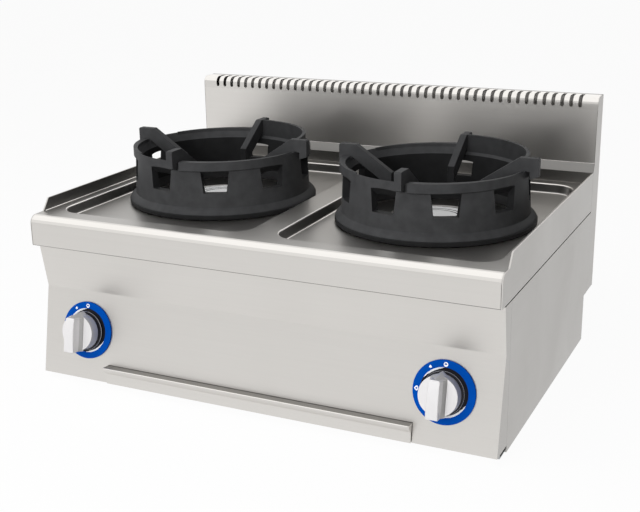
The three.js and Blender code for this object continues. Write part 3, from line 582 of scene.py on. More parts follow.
def shader_group(name):
    """A shader group, made the first time it is asked for."""
    if name in bpy.data.node_groups:
        return bpy.data.node_groups[name]
    fill, outputs, own_input = SHADER_GROUPS[name]
    tree = bpy.data.node_groups.new(name, "ShaderNodeTree")
    for label, kind, default in (("Vector", "NodeSocketVector", (0, 0, 0)), own_input):
        socket = tree.interface.new_socket(name=label, in_out="INPUT", socket_type=kind)
        socket.default_value = default
    for label in outputs:
        tree.interface.new_socket(name=label, in_out="OUTPUT", socket_type="NodeSocketFloat")
    given = tree.nodes.new("NodeGroupInput").outputs
    node(tree, "NodeGroupOutput", fill(tree, given))
    return tree


def use_group(tree, name, place, **values):
    return node(tree, "ShaderNodeGroup", {"Vector": place, **values}, node_tree=shader_group(name)).outputs


# ---------------------------------------------------------------- finishes
# Each pattern gives what sets a finish's tone, its gloss and its relief.
def brushed(stretch, size):
    def pattern(tree, place):
        lines = use_group(tree, "Brushed sheet", place, Stretch=stretch)
        marks = use_group(tree, "Handling marks", place, Size=size)
        return lines["Tone"], marks["Patches"], lines["Lines"]

    return pattern


def handled(size):
    def pattern(tree, place):
        return (use_group(tree, "Handling marks", place, Size=size)["Patches"],) * 3

    return pattern


def cast(tree, place):
    skin = use_group(tree, "Casting skin", place, Grain=900.0)
    return skin["Tone"], skin["Tone"], skin["Relief"]


def spangled(tree, place):
    """Galvanised sheet's crystals."""
    cells = node(tree, "ShaderNodeTexVoronoi", {"Vector": place, "Scale": 120.0, "Randomness": 1.0}).outputs
    grey = node(tree, "ShaderNodeSeparateColor", {0: cells["Color"]}).outputs[0]
    return grey, use_group(tree, "Handling marks", place, Size=12.0)["Patches"], cells["Distance"]


def new_finish(name, pattern, colour, shades, gloss, depth, metallic=0.0, specular=0.5, strength=1.0):
    """A material with a range of shades and of roughness, and a relief whose depth is in metres."""
    material = bpy.data.materials.new(name)
    material.use_nodes = True
    tree = material.node_tree
    tone, patches, relief = pattern(tree, node(tree, "ShaderNodeTexCoord").outputs["Object"])
    low, high = (tuple(min(1.0, channel * share) for channel in colour) + (1.0,) for share in shades)
    inputs = tree.nodes["Principled BSDF"].inputs
    inputs["Metallic"].default_value = metallic
    inputs["Specular IOR Level"].default_value = specular
    mix = node(tree, "ShaderNodeMix", {"A": low, "B": high, "Factor": tone}, data_type="RGBA")
    tree.links.new(mix.outputs["Result"], inputs["Base Color"])
    tree.links.new(stretch_range(tree, patches, To_Min=gloss[0], To_Max=gloss[1]), inputs["Roughness"])
    bump = node(tree, "ShaderNodeBump", {"Strength": strength, "Distance": depth, "Height": relief})
    tree.links.new(bump.outputs[0], inputs["Normal"])
    return material


def finish(name):
    """A material by its short name, made the first time it is asked for."""
    full_name = f"{name}_finish"
    if full_name in bpy.data.materials:
        return bpy.data.materials[full_name]
    tones = colours()
    if name in SHEETS:
        share, stretch = SHEETS[name]
        tint = [channel * share for channel in tones.steel]
        gloss = (tones.steel_roughness - 0.03, tones.steel_roughness + 0.04)
        return new_finish(
            full_name, brushed(stretch, 5.0), tint, (0.965, 1.03), gloss, 0.000012, metallic=1.0
        )
    if name in CASTINGS:
        tint = [channel * CASTINGS[name] for channel in tones.iron]
        relief = {"depth": 0.00005, "strength": 0.5}
        return new_finish(full_name, cast, tint, (0.88, 1.14), (0.46, 0.56), specular=0.08, **relief)
    turned, coat, satin = (0.78, 1.08), (0.95, 1.03), (0.985, 1.015)
    grain = brushed((900, 900, 500), 45.0)
    # pattern, colour, shades, roughness, depth of the relief, metallic, specular
    rows = {
        "polished_steel": (
            brushed((500, 500, 900), 30.0), tones.polished, (0.93, 1.04), (0.10, 0.2), 0.000004, 1.0
        ),
        "galvanised": (spangled, tones.zinc, (0.85, 1.12), (0.42, 0.6), 0.00002, 1.0),
        "brass": (handled(60.0), tones.brass, turned, (0.28, 0.44), 0.00003, 1.0),
        "copper": (handled(60.0), tones.copper, turned, (0.32, 0.48), 0.00003, 1.0),
        "blue_plate": (handled(25.0), tones.blue, (0.95, 1.06), (0.42, 0.52), 0.00001, 0.0, 0.03),
        # printed marks, and the highlight painted on the plates' bevel
        "mark_white": (handled(80.0), tones.white, coat, (0.41, 0.50), 0.00001),
        # painted shade: near black in the plates' recess, in the caps' grooves and round the knobs' foot
        "recess_black": (handled(40.0), (0.005, 0.005, 0.008), coat, (0.56, 0.65), 0.00001),
        "knob_silver": (grain, tones.knob, satin, (0.32, 0.40), 0.000003, 0.25),
        # painted shade on the knobs
        "knob_shade": (grain, tones.knob_painted_shade, satin, (0.35, 0.43), 0.000003, 0.4),
        "satin_cap": (grain, (0.98, 0.98, 0.98), satin, (0.42, 0.50), 0.000003),
    }
    return new_finish(full_name, *rows[name])


def dress_nodes(names, finish_name):
    """Gives CAD nodes that stay in view their finish."""
    for name in names:
        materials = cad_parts[name].data.materials
        materials.clear()
        materials.append(finish(finish_name))


# ---------------------------------------------------------------- pieces
class WOKRANGE_OT_worktop(Operator):
    """Pressed worktop with its rounded apron, side upstands and two wells"""

    bl_idname = "wok_range.worktop"
    bl_label = "Worktop"

    def execute(self, context):
        inside = HALF - FLANGE / 2
        flat_rear = TOP_REAR - 8
        edge = sizes().well_edge / MM
        fillet = sizes().well_fillet / MM
        bm = bmesh.new()
        sheet(bm, (inside, -inside), self.front_path(APRON_RETURN))
        sheet(bm, (inside, -inside), folded([(flat_rear, TOP), (TOP_REAR, TOP), (TOP_REAR, TOP - 36)], 2.0))
        outlines = [[(inside, BULLNOSE), (-inside, BULLNOSE), (-inside, flat_rear), (inside, flat_rear)]]
        for sign in SIDES.values():
            outlines.append(self.well_outline(sign, -edge))
            self.press_well(bm, sign, edge, fillet)
        flat_fill(bm, outlines, TOP)
        top = new_object("worktop_sheet", bm, at)
        thicken(top, (0, 0, 1), 2.0 * MM)
        finish_piece(
            joined([top, self.side_flanges(), self.flange_fillets()], "worktop_top"),
            ["sheet_across", "sheet_crown", "sheet_roll", "sheet_top", "sheet_drawn", "sheet_foot",
             "sheet_deep"],
            "range", ["worktop"], 38.0, self.paint,
        )
        return {"FINISHED"}

    @staticmethod
    def paint(x, y, z, normal):
        """Painted light and shade: a bright bullnose and bright lines on the well edges and fillets; darker
        flats, sides, upstand inner faces and well walls; the deepest shade under the apron and under the
        rings.
        """
        skin = 2.2  # a little more than the sheet
        if abs(x) > HALF - FLANGE - 0.1:
            if normal.x * x > 0.9 * abs(x):
                return "sheet_deep"
            return "sheet_foot" if normal.x * x < -0.5 * abs(x) else "sheet_across"
        if y < BULLNOSE + 0.5 and normal.z > 0.2:
            return "sheet_crown" if 0.5 < normal.z < 0.95 else "sheet_roll"
        # painted shadow line along the apron's folded foot
        if y < 3.0 and z < APRON_FOOT + skin and normal.z < -0.15:
            return "sheet_foot"
        if normal.z > 0.95:
            # painted shade on the floor under the ring, seen through its windows
            under_ring = z < TOP - 5 and math.hypot(abs(x) - BURNER_X, y - BURNER_Y) < BORE
            return "sheet_foot" if under_ring else "sheet_top"
        # painted highlight lines on the well edges and the fillets
        if normal.z > 0.6 and z > TOP - skin or normal.z > 0.75 and z < WELL_FLOOR + skin:
            return "sheet_crown"
        # painted shade on the well walls
        if WELL_Y[0] - 6 < y < WELL_Y[1] + 6 and z > WELL_FLOOR - 0.5:
            return "sheet_foot" if normal.y < -0.5 else "sheet_drawn"
        return "sheet_across"

    @staticmethod
    def front_path(start):
        """From a corner at the apron's foot up its face and over the bullnose."""
        path = folded([(start, APRON_FOOT), (0, APRON_FOOT), (0, TOP - BULLNOSE)], 2.0)
        return path + arc(BULLNOSE, TOP - BULLNOSE, BULLNOSE, 180, 90, 14)[1:]

    @staticmethod
    def well_outline(sign, inset):
        centre = sign * BURNER_X
        half = WELL_HALF_X - inset
        return rounded_box(
            centre - half, centre + half, WELL_Y[0] + inset, WELL_Y[1] - inset, WELL_CORNER - inset, 12
        )

    def press_well(self, bm, sign, edge, fillet):
        """Edge radius, wall, fillet, floor and the raised collar round the burner hole."""
        slope = 2.0  # how far the wall leans in
        steps = arc(-edge, TOP - edge, edge, 90, 0, 6)
        steps += arc(slope + fillet, WELL_FLOOR + fillet, fillet, 180, 270, 6)
        loft(bm, [[(x, y, z) for x, y in self.well_outline(sign, inset)] for inset, z in steps], caps=False)
        centre = (sign * BURNER_X, BURNER_Y)
        collar = [(5, 0), (3, 0.6), (1.6, 1.8), (0.6, HOLE_COLLAR - 0.4), (0, HOLE_COLLAR)]
        # the floor is split at the ring's bore so the part under the ring can take painted shade
        covered = circle(BORE, 96, *centre)
        flat_fill(bm, [self.well_outline(sign, steps[-1][0]), covered], WELL_FLOOR)
        flat_fill(bm, [covered, circle(BURNER_HOLE + collar[0][0], 64, *centre)], WELL_FLOOR)
        profile = [(BURNER_HOLE + out, WELL_FLOOR + up) for out, up in collar]
        lathe(bm, profile, 64, centre, open_ends=True)

    def side_flanges(self):
        rake = [(FLANGE_START, TOP), (FLANGE_START + FLANGE_RAKE, FLANGE_TOP)]
        outline = self.front_path(TOP_REAR)
        outline += folded([(FLANGE_START - 6, TOP), *rake, (TOP_REAR, FLANGE_TOP)], 4.0)
        rows = [(outline, "x", x, x + FLANGE) for x in (-HALF, HALF - FLANGE)]
        return round_edges(build("worktop_flanges", at, prism, *rows), 0.8 * MM, 3, 50.0)

    @staticmethod
    def flange_fillets():
        """Thin fillets where the upstands meet the top, which paint() gives a painted highlight line."""
        rows = []
        for sign in SIDES.values():
            foot = sign * (HALF - FLANGE + 0.2)
            fillet = [(foot, TOP - 0.5), (foot - sign, TOP - 0.5), (foot - sign, TOP), (foot, TOP + 1.0)]
            rows.append((fillet[::sign], "y", FLANGE_START + 4, TOP_REAR - 1))
        return build("flange_fillets", at, prism, *rows)


class WOKRANGE_OT_front_panel(Operator):
    """Concave front panel with its side returns and the tray's cut-out"""

    bl_idname = "wok_range.front_panel"
    bl_label = "Front panel"

    def execute(self, context):
        fold = 22  # depth of the folds at the top and the foot
        crease = bend(PANEL_TOP, CREASE, PANEL_FOOT, sizes().crease_radius / MM, 12)
        face = [PANEL_TOP] + crease + [PANEL_FOOT]
        path = [(PANEL_TOP[0] + fold, PANEL_TOP[1])] + face + [(PANEL_FOOT[0] + fold, PANEL_FOOT[1])]
        side = face + [(PANEL_REAR, PANEL_FOOT[1]), (PANEL_REAR, PANEL_TOP[1])]
        mouth = rectangle(-MOUTH_HALF, MOUTH_HALF, -5, MOUTH_TOP)
        front = build("front_sheet", at, prism, (sheet_outline(path[::-1], SHEET), "x", -HALF, HALF))
        for sign in SIDES.values():
            end = build("side_return", at, prism, (side, "x", sign * HALF, sign * (HALF - SHEET)))
            cut_with(front, end, "UNION")
        cut_with(front, build("mouth", at, prism, (mouth, "y", -20, PANEL_REAR + 1)))
        for sign in SIDES.values():
            cut_with(front, build("stem_hole", on_tap(sign), prism, (circle(9.0, 32), "z", -12, 12)))
        round_edges(front, sizes().sheet_edge, 3, 50.0)
        spans = [sorted((sign * (HALF - 16), sign * (HALF - 1))) for sign in SIDES.values()]
        rows = [(rectangle(*span, 12, 234), "y", PANEL_REAR - SHEET, PANEL_REAR) for span in spans]
        finish_piece(
            joined([front, build("front_flanges", at, prism, *rows)], "front_face"),
            ["sheet_across", "sheet_deep"], "range", ["front_panel"], 30.0,
            # side faces take painted shade
            lambda x, y, z, normal: "sheet_deep" if abs(normal.x) > 0.9 else "sheet_across",
        )
        return {"FINISHED"}


class WOKRANGE_OT_flue(Operator):
    """Flue riser with its foot band, rounded top edge and row of vent slots"""

    bl_idname = "wok_range.flue"
    bl_label = "Flue"

    def execute(self, context):
        foot = [(FLUE_FOOT_Y, 240.0), (FLUE_FOOT_Y, 307.0), (FLUE_FACE_Y, 323.0), (FLUE_FACE_Y, 370.0)]
        low = folded(foot, 2.5, 4)
        roll = arc(FLUE_FACE_Y + FLUE_EDGE, FLUE_TOP - FLUE_EDGE, FLUE_EDGE, 180, 90, 10)
        slot_low = SLOT_FOOT - 3.0
        rear_end = SLOT_REAR + 3.0
        straight = [(FLUE_FACE_Y, SLOT_FOOT + SLOT_HALF)] + roll + [(SLOT_REAR - SLOT_HALF, FLUE_TOP)]
        full = [(FLUE_FACE_Y, slot_low)] + straight + [(rear_end, FLUE_TOP)]
        edges = (
            [-HALF + 0.4] + [(i - SLOT_COUNT / 2) * SLOT_PITCH for i in range(SLOT_COUNT + 1)]
            + [HALF - 0.4]
        )
        bm = bmesh.new()
        sheet(bm, edges, low + full[:1])
        sheet(bm, edges, [full[-1], (FLUE_REAR, FLUE_TOP)])
        for side in (edges[:2], edges[-2:]):
            sheet(bm, side, full)
        for i in range(SLOT_COUNT):
            self.slot(bm, (i - (SLOT_COUNT - 1) / 2) * SLOT_PITCH, straight, slot_low, rear_end)
        riser = new_object("riser_sheet", bm, at)
        thicken(riser, (0, -1, 0), SHEET * MM)
        outline = (
            [(FLUE_FOOT_Y, FLUE_BOTTOM)] + low[:-1] + roll
            + [(FLUE_REAR, FLUE_TOP), (FLUE_REAR, FLUE_BOTTOM)]
        )
        rows = [(outline, "x", sign * HALF, sign * (HALF - SHEET)) for sign in SIDES.values()]
        ends = round_edges(build("riser_ends", at, prism, *rows), 0.5 * MM, 2, 50.0)
        finish_piece(
            joined([riser, ends], "flue_front"),
            ["sheet_across", "sheet_foot", "sheet_deep", "sheet_riser", "sheet_crown", "sheet_shade"],
            "range", ["flue_riser"], 34.0, self.paint,
        )
        dress_nodes(["flue_cover"], "sheet_across")
        dress_nodes([f"cover_screw_{i}" for i in range(1, 7)], "polished_steel")
        return {"FINISHED"}

    @staticmethod
    def paint(x, y, z, normal):
        """Painted shade on the ends, the foot band, the rear strip and the slot walls, a sheet painted
        lighter on the face, and a painted highlight on the rolled edge and top.
        """
        if abs(normal.x) > 0.9:
            return "sheet_deep" if abs(x) > HALF - 3 else "sheet_shade"
        if z < 322 or y > SLOT_REAR + 3.2:
            return "sheet_foot"
        if z < SLOT_FOOT - 3 and normal.y < -0.9:
            return "sheet_riser"
        return "sheet_crown" if normal.z > 0.3 else "sheet_across"

    @staticmethod
    def slot(bm, centre, straight, low, rear):
        """The sheet round one slot: two strips and the faces round its rounded ends."""
        half = SLOT_PITCH / 2
        for a, b in ((centre - half, centre - SLOT_HALF), (centre + SLOT_HALF, centre + half)):
            sheet(bm, (a, b), straight)
        y, z = straight[0]
        foot = [(centre + dx, y, z + dz) for dx, dz in arc(0, 0, SLOT_HALF, 0, -180, 8)]
        foot += [
            (centre - half, y, z), (centre - half, y, low), (centre + half, y, low), (centre + half, y, z),
        ]
        y, z = straight[-1]
        head = [(centre + dx, y + dy, z) for dx, dy in arc(0, 0, SLOT_HALF, 180, 0, 8)]
        head += [
            (centre + half, y, z), (centre + half, rear, z), (centre - half, rear, z), (centre - half, y, z),
        ]
        for points in (foot, head):
            bm.faces.new([bm.verts.new(point) for point in points])


class WOKRANGE_OT_cabinet(Operator):
    """Side panels, floor, lower back, rails and tray runners"""

    bl_idname = "wok_range.cabinet"
    bl_label = "Cabinet"

    def execute(self, context):
        # the side panels take painted shade
        dress_nodes(["side_panel_left", "side_panel_right"], "sheet_deep")
        dress_nodes(["base_plate", "lower_back", "burner_rail_front", "burner_rail_rear"], "galvanised")
        dress_nodes(["tray_runner_left", "tray_runner_right"], "galvanised")
        return {"FINISHED"}


class WOKRANGE_OT_drip_tray(Operator):
    """Drip tray with its fascia and grip lip"""

    bl_idname = "wok_range.drip_tray"
    bl_label = "Drip tray"

    def execute(self, context):
        path = folded([(0, 11), (0, 28.5), (-10, 42), (18, 39.6)], 1.6, 5)
        lip_end = [(0.8, 11.5), (0.8, 28.6), (-8.6, 41.2), (14.0, 39.9), (14.0, 11.5)]
        tongue = rectangle(0.7, 7, PAN_FLOOR, PAN_FLOOR + SHEET)
        rows = [
            (sheet_outline(path, SHEET), "x", -FASCIA_HALF, FASCIA_HALF), (tongue, "x", -PAN_HALF, PAN_HALF),
        ]
        for sign in SIDES.values():
            rows.append((lip_end, "x", sign * (FASCIA_HALF - 0.3), sign * (FASCIA_HALF - 1.3)))
        fascia = build("tray_fascia", at, prism, *rows)
        pan = build("tray_pan", at, prism, (self.pan_outline(0, 8), "z", PAN_FLOOR, PAN_TOP))
        hollow = (self.pan_outline(SHEET, 6.5), "z", PAN_FLOOR + SHEET, PAN_TOP + 3)
        cut_with(pan, build("tray_hollow", at, prism, hollow))
        round_edges(pan, 0.5 * MM, 2, 50.0)
        round_edges(fascia, 0.4 * MM, 2, 60.0)
        finish_piece(
            joined([fascia, pan], "tray"), ["sheet_across", "sheet_ledge", "sheet_crown"],
            "tray",
            ["drip_tray"], 34.0, self.paint,
        )
        return {"FINISHED"}

    @staticmethod
    def pan_outline(inset, radius):
        half = PAN_HALF - inset
        return rounded_box(-half, half, PAN_Y[0] + inset, PAN_Y[1] - inset, radius, 5)

    @staticmethod
    def paint(x, y, z, normal):
        """Painted shade on the ledge behind the lip, and a painted highlight on the lip's edge."""
        if z > 39.0 and normal.z > 0.3:
            return "sheet_crown" if y < -7.0 else "sheet_ledge"
        return "sheet_across"


class WOKRANGE_OT_wok_rings(Operator):
    """The two cast rings with their windows, spiral lips, guard and fingers"""

    bl_idname = "wok_range.wok_rings"
    bl_label = "Wok rings"

    windows = (-141.0, -102.5, -64.5, -26.5, 11.5, 91.0, 177.0)  # their middles, in degrees
    lips = ((4.0, 60.0), (94.0, 60.0), (184.0, 50.0), (274.0, 78.0))  # where each starts and how far it runs

    def execute(self, context):
        wall = self.wall()
        cut_with(wall, self.window_tools())
        ring = joined([wall, self.spiral_lips(), self.guard(), self.fingers()], "ring_left")
        twin = copied(ring, "ring_right", Vector((2 * BURNER_X * MM, 0, 0)))
        for piece, side in ((ring, "left"), (twin, "right")):
            finish_piece(
                piece, list(CASTINGS), f"ring_{side}", [f"wok_ring_{side}"], 30.0, self.paint
            )
        return {"FINISHED"}

    @staticmethod
    def paint(x, y, z, normal):
        """Painted shade below the flange's groove, under the lips, in the windows and bore, and painted half
        shade inside the guard.
        """
        across, along = abs(x) - BURNER_X, y - BURNER_Y
        reach = math.hypot(across, along)
        outward = (math.copysign(normal.x, normal.x * x) * across + normal.y * along) / reach
        up = z - RING_BASE
        under_lip = reach > RIM_RADIUS + 1 and abs(up - RIM + LIP_DROP - 0.5) < 0.6 and outward > 0.5
        inside = reach < BORE + 1 and up < RIM - 16
        in_window = BORE + 0.5 < reach < WALL_RADIUS - 0.6 and WINDOW_FOOT - 1 < up < RIM - 10
        if up < 8.6 or under_lip or inside or in_window and abs(outward) < 0.8:
            return "casting_shade"
        guarded = outward < -0.5 and normal.z < 0.5 and up > RIM - 6 and reach < RIM_RADIUS
        return "casting_mid" if guarded else "black_casting"

    @staticmethod
    def place():
        return on_burner(-1, RING_BASE)

    def wall(self):
        """Flange with its groove and shoulder, leaning wall, seat cone and bore."""
        profile = [
            (SKIRT - 2.5, 0), (SKIRT - 0.9, 0.9), (SKIRT, 2.8), (SKIRT, 7.3), (SKIRT - 0.4, 7.8),
            (SKIRT - 1.4, 8.3), (SKIRT - 1.1, 9.0), (SKIRT - 1.6, 10.3), (SKIRT - 3.4, 12.6),
            (SKIRT - 6.6, 15.6), (WALL_RADIUS + 1.2, 18.1), (WALL_RADIUS + 0.4, 18.6),
            (WALL_RADIUS, 19.4), (RIM_RADIUS, RIM - 0.9), (RIM_RADIUS - 0.3, RIM - 0.3),
            (RIM_RADIUS - 0.9, RIM), (BORE, RIM - 15), (BORE, 20), (150, 0),
        ]
        return build("ring_wall", self.place(), lathe, (profile, 180))

    def window_tools(self):
        """Openings narrower at the foot, under a top that slopes down towards the bore."""
        bm = bmesh.new()
        for angle in self.windows:
            loops = []
            for distance in (118.0, 172.0):
                top = RIM - 10.5 - 14.5 * (WALL_RADIUS - distance) / 14.0
                wide, narrow = (distance * math.tan(math.radians(half)) for half in (9.25, 7.25))
                corners = [(-wide, top), (wide, top), (narrow, WINDOW_FOOT), (-narrow, WINDOW_FOOT)]
                loops.append([(distance, y, z) for y, z in rounded_corners(corners, 1.5, 3)])
            turned_about_z(bm, loft(bm, loops), angle)
        return new_object("ring_windows", bm, self.place())

    def casting(self, name, bm, angle=50.0):
        return round_edges(new_object(name, bm, self.place()), sizes().casting_edge, 2, angle)

    def spiral_lips(self):
        """Four lips under the rim, each proudest beside a finger and running out into the wall."""
        bm = bmesh.new()
        over = sizes().lip_overhang / MM
        for start, spread in self.lips:
            swept_round(
                bm, lambda share: self.lip_section(over - (over + 1.5) * share), start, start + spread, 40
            )
        return self.casting("ring_lips", bm)

    @staticmethod
    def lip_section(proud):
        edge = RIM_RADIUS + proud
        foot, top = RIM - LIP_DROP, RIM + 1.5
        # the bottom millimetre of the lip's face is a face of its own, which takes the painted shadow line
        # under the lip
        return [(RIM_RADIUS - 3, foot), (edge, foot), (edge, foot + 1), (edge, top), (RIM_RADIUS - 4, top)]

    def guard(self):
        """Raised guard between the right and the rear finger, with the ledge at its foot."""
        inner, outer, top = BORE + 3, RIM_RADIUS - 2, RIM + 19.5
        section = [(inner, RIM - 10.5), (outer, RIM - 6), (outer, top), (inner, top)]
        bm = bmesh.new()
        swept_round(bm, lambda share: section, 1, 89, 60)
        return self.casting("ring_guard", bm)

    def fingers(self):
        bm = bmesh.new()
        for angle in (0, 90, 180, 270):
            turned_about_z(bm, prism(bm, self.finger_outline(), "y", -6, 6), angle)
        return self.casting("ring_fingers", bm, 30.0)

    @staticmethod
    def finger_outline():
        """A finger from the side: its outer end, its sloping top, its tip and its root in the wall."""
        drop = 43.0  # from the finger's top down to its tip
        slope = drop / 64.0
        low = FINGER_TOP - 70
        root = RIM_RADIUS - 5
        return [
            (170, RIM - 9), (170, FINGER_TOP - 2), (168, FINGER_TOP), (139, FINGER_TOP),
            (FINGER_TIP, FINGER_TOP - drop), (FINGER_TIP, low), (root, low + slope * (root - FINGER_TIP)),
            (root, RIM - 11), (RIM_RADIUS - 1, RIM - 11), (RIM_RADIUS - 1, RIM - 2), (156, RIM - 2),
            (156, RIM - LIP_DROP),
        ]


class WOKRANGE_OT_burners(Operator):
    """Satin burner caps over the cast burner cups"""

    bl_idname = "wok_range.burners"
    bl_label = "Burners"

    grooves = ((46.4, 48.8), (38.2, 40.6))  # inner and outer radius
    groove_depth = 1.6

    def execute(self, context):
        profile = [
            (0, -3), (45.5, -3), (45.5, -18), (49.5, -18), (49.5, -8), (62.5, -8), (63.5, -7), (64, -6),
            (64, -2.2), (63.4, -0.8), (62, 0),
        ]
        for inner, outer in self.grooves:
            floor = -self.groove_depth
            profile += [(outer, 0), (outer - 0.6, floor), (inner + 0.6, floor), (inner, 0)]
        profile.append((0, 0))
        for side, sign in SIDES.items():
            bm = bmesh.new()
            lathe(bm, profile, sizes().disc_steps, open_ends=True)
            finish_piece(
                new_object(f"cap_{side}", bm, on_burner(sign, CAP_TOP)), ["satin_cap", "recess_black"],
                f"cap_{side}", [f"burner_cap_{side}"], 40.0, self.paint,
            )
            dress_nodes([f"burner_body_{side}"], "black_casting")
            dress_nodes([f"pilot_burner_{side}", f"injector_{side}"], "brass")
            dress_nodes([f"injector_bracket_{side}"], "galvanised")
        return {"FINISHED"}

    @staticmethod
    def paint(x, y, z, normal):
        """Painted shade in the two grooves round the top."""
        reach = math.hypot(abs(x) - BURNER_X, y - BURNER_Y)
        return "recess_black" if 38.0 < reach < 49.1 and CAP_TOP - 2 < z < CAP_TOP - 0.2 else "satin_cap"


class WOKRANGE_OT_bezels(Operator):
    """Blue round plates with a highlight painted on their inner edge, painted shade in the recess, and
    printed marks
    """

    bl_idname = "wok_range.bezels"
    bl_label = "Bezels"

    painted_highlight_arcs = ((92, 150), (-92, -22))  # degrees, where a highlight is painted on the bevel
    blue_from = 36.9
    recess_to = 34.18

    def execute(self, context):
        profile = [
            (9, 0.3), (47.6, 0.3), (48, 0.7), (48, 2.2), (47.7, 2.7), (47.1, 3.0), (37.0, 3.0),
            (36.3, 2.7), (35.6, 2.4), (34.9, 2.1), (34.2, 1.8), (34.1, 1.1), (9, 1.1),
        ]
        for side, sign in SIDES.items():
            finish_piece(
                build(f"plate_{side}", on_tap(sign), lathe, (profile, sizes().disc_steps)),
                ["blue_plate", "mark_white", "recess_black"], "range", [f"bezel_{side}"], 45.0,
                self.paint, from_tap(sign),
            )
            self.marks(side, sign)
        return {"FINISHED"}

    def paint(self, u, v, h, normal):
        """Blue ring, a highlight painted on the bevel that thins out towards its ends, and painted shade in
        the recess.
        """
        reach = math.hypot(u, v)
        if reach > self.blue_from or h < 0.6:
            return "blue_plate"
        turn = math.degrees(math.atan2(v, u))
        thin = (36.7 - reach) * 7.0
        shown = any(start + thin < turn < end - thin for start, end in self.painted_highlight_arcs)
        return "mark_white" if shown and reach >= self.recess_to else "recess_black"

    def marks(self, side, sign):
        """Off at the top, pilot beside it and full flame at the left."""
        low, high = 2.8, 3.08
        middle = 41.4  # radius on the plate
        up, left = math.radians(90), math.radians(180)
        bm = bmesh.new()
        self.band(bm, circle(3.4, 28, 0.0, middle), circle(2.0, 28, 0.0, middle), low, high)
        prism(bm, arc(0.0, middle, 2.1, 195, 345, 12), "z", low, high)
        prism(bm, self.drop_outline(up, self.dial_place(33, 42.0), 3.0, 4.4), "z", low, high)
        outer = self.drop_outline(left, self.dial_place(90, 42.2), 5.4, 6.2)
        inner = self.drop_outline(left, self.dial_place(90, 41.9), 2.5, 2.8)
        self.band(bm, outer, inner, low, high)
        marks = new_object(f"marks_{side}", bm, on_tap(sign))
        finish_piece(marks, ["mark_white"], "range", (), 30.0)

    @staticmethod
    def band(bm, outer, inner, low, high):
        sections = ((outer, high), (inner, high), (inner, low), (outer, low))
        loft(bm, [[(u, v, h) for u, v in line] for line, h in sections], ring=True)

    @staticmethod
    def dial_place(angle, reach):
        """A place on the plate, by its angle to the left of the top."""
        turn = math.radians(90 + angle)
        return Vector((reach * math.cos(turn), reach * math.sin(turn)))

    @staticmethod
    def drop_outline(heading, centre, width, length):
        """A drop whose point looks along a heading."""
        out = Vector((math.cos(heading), math.sin(heading)))
        across = Vector((-out.y, out.x))
        points = []
        for i in range(24):
            t = math.tau * i / 24
            swell = math.sin(t) * (1 - 0.55 * math.cos(t)) * 0.62
            points.append(tuple(centre + across * (width * swell) + out * (length / 2 * math.cos(t))))
        return points


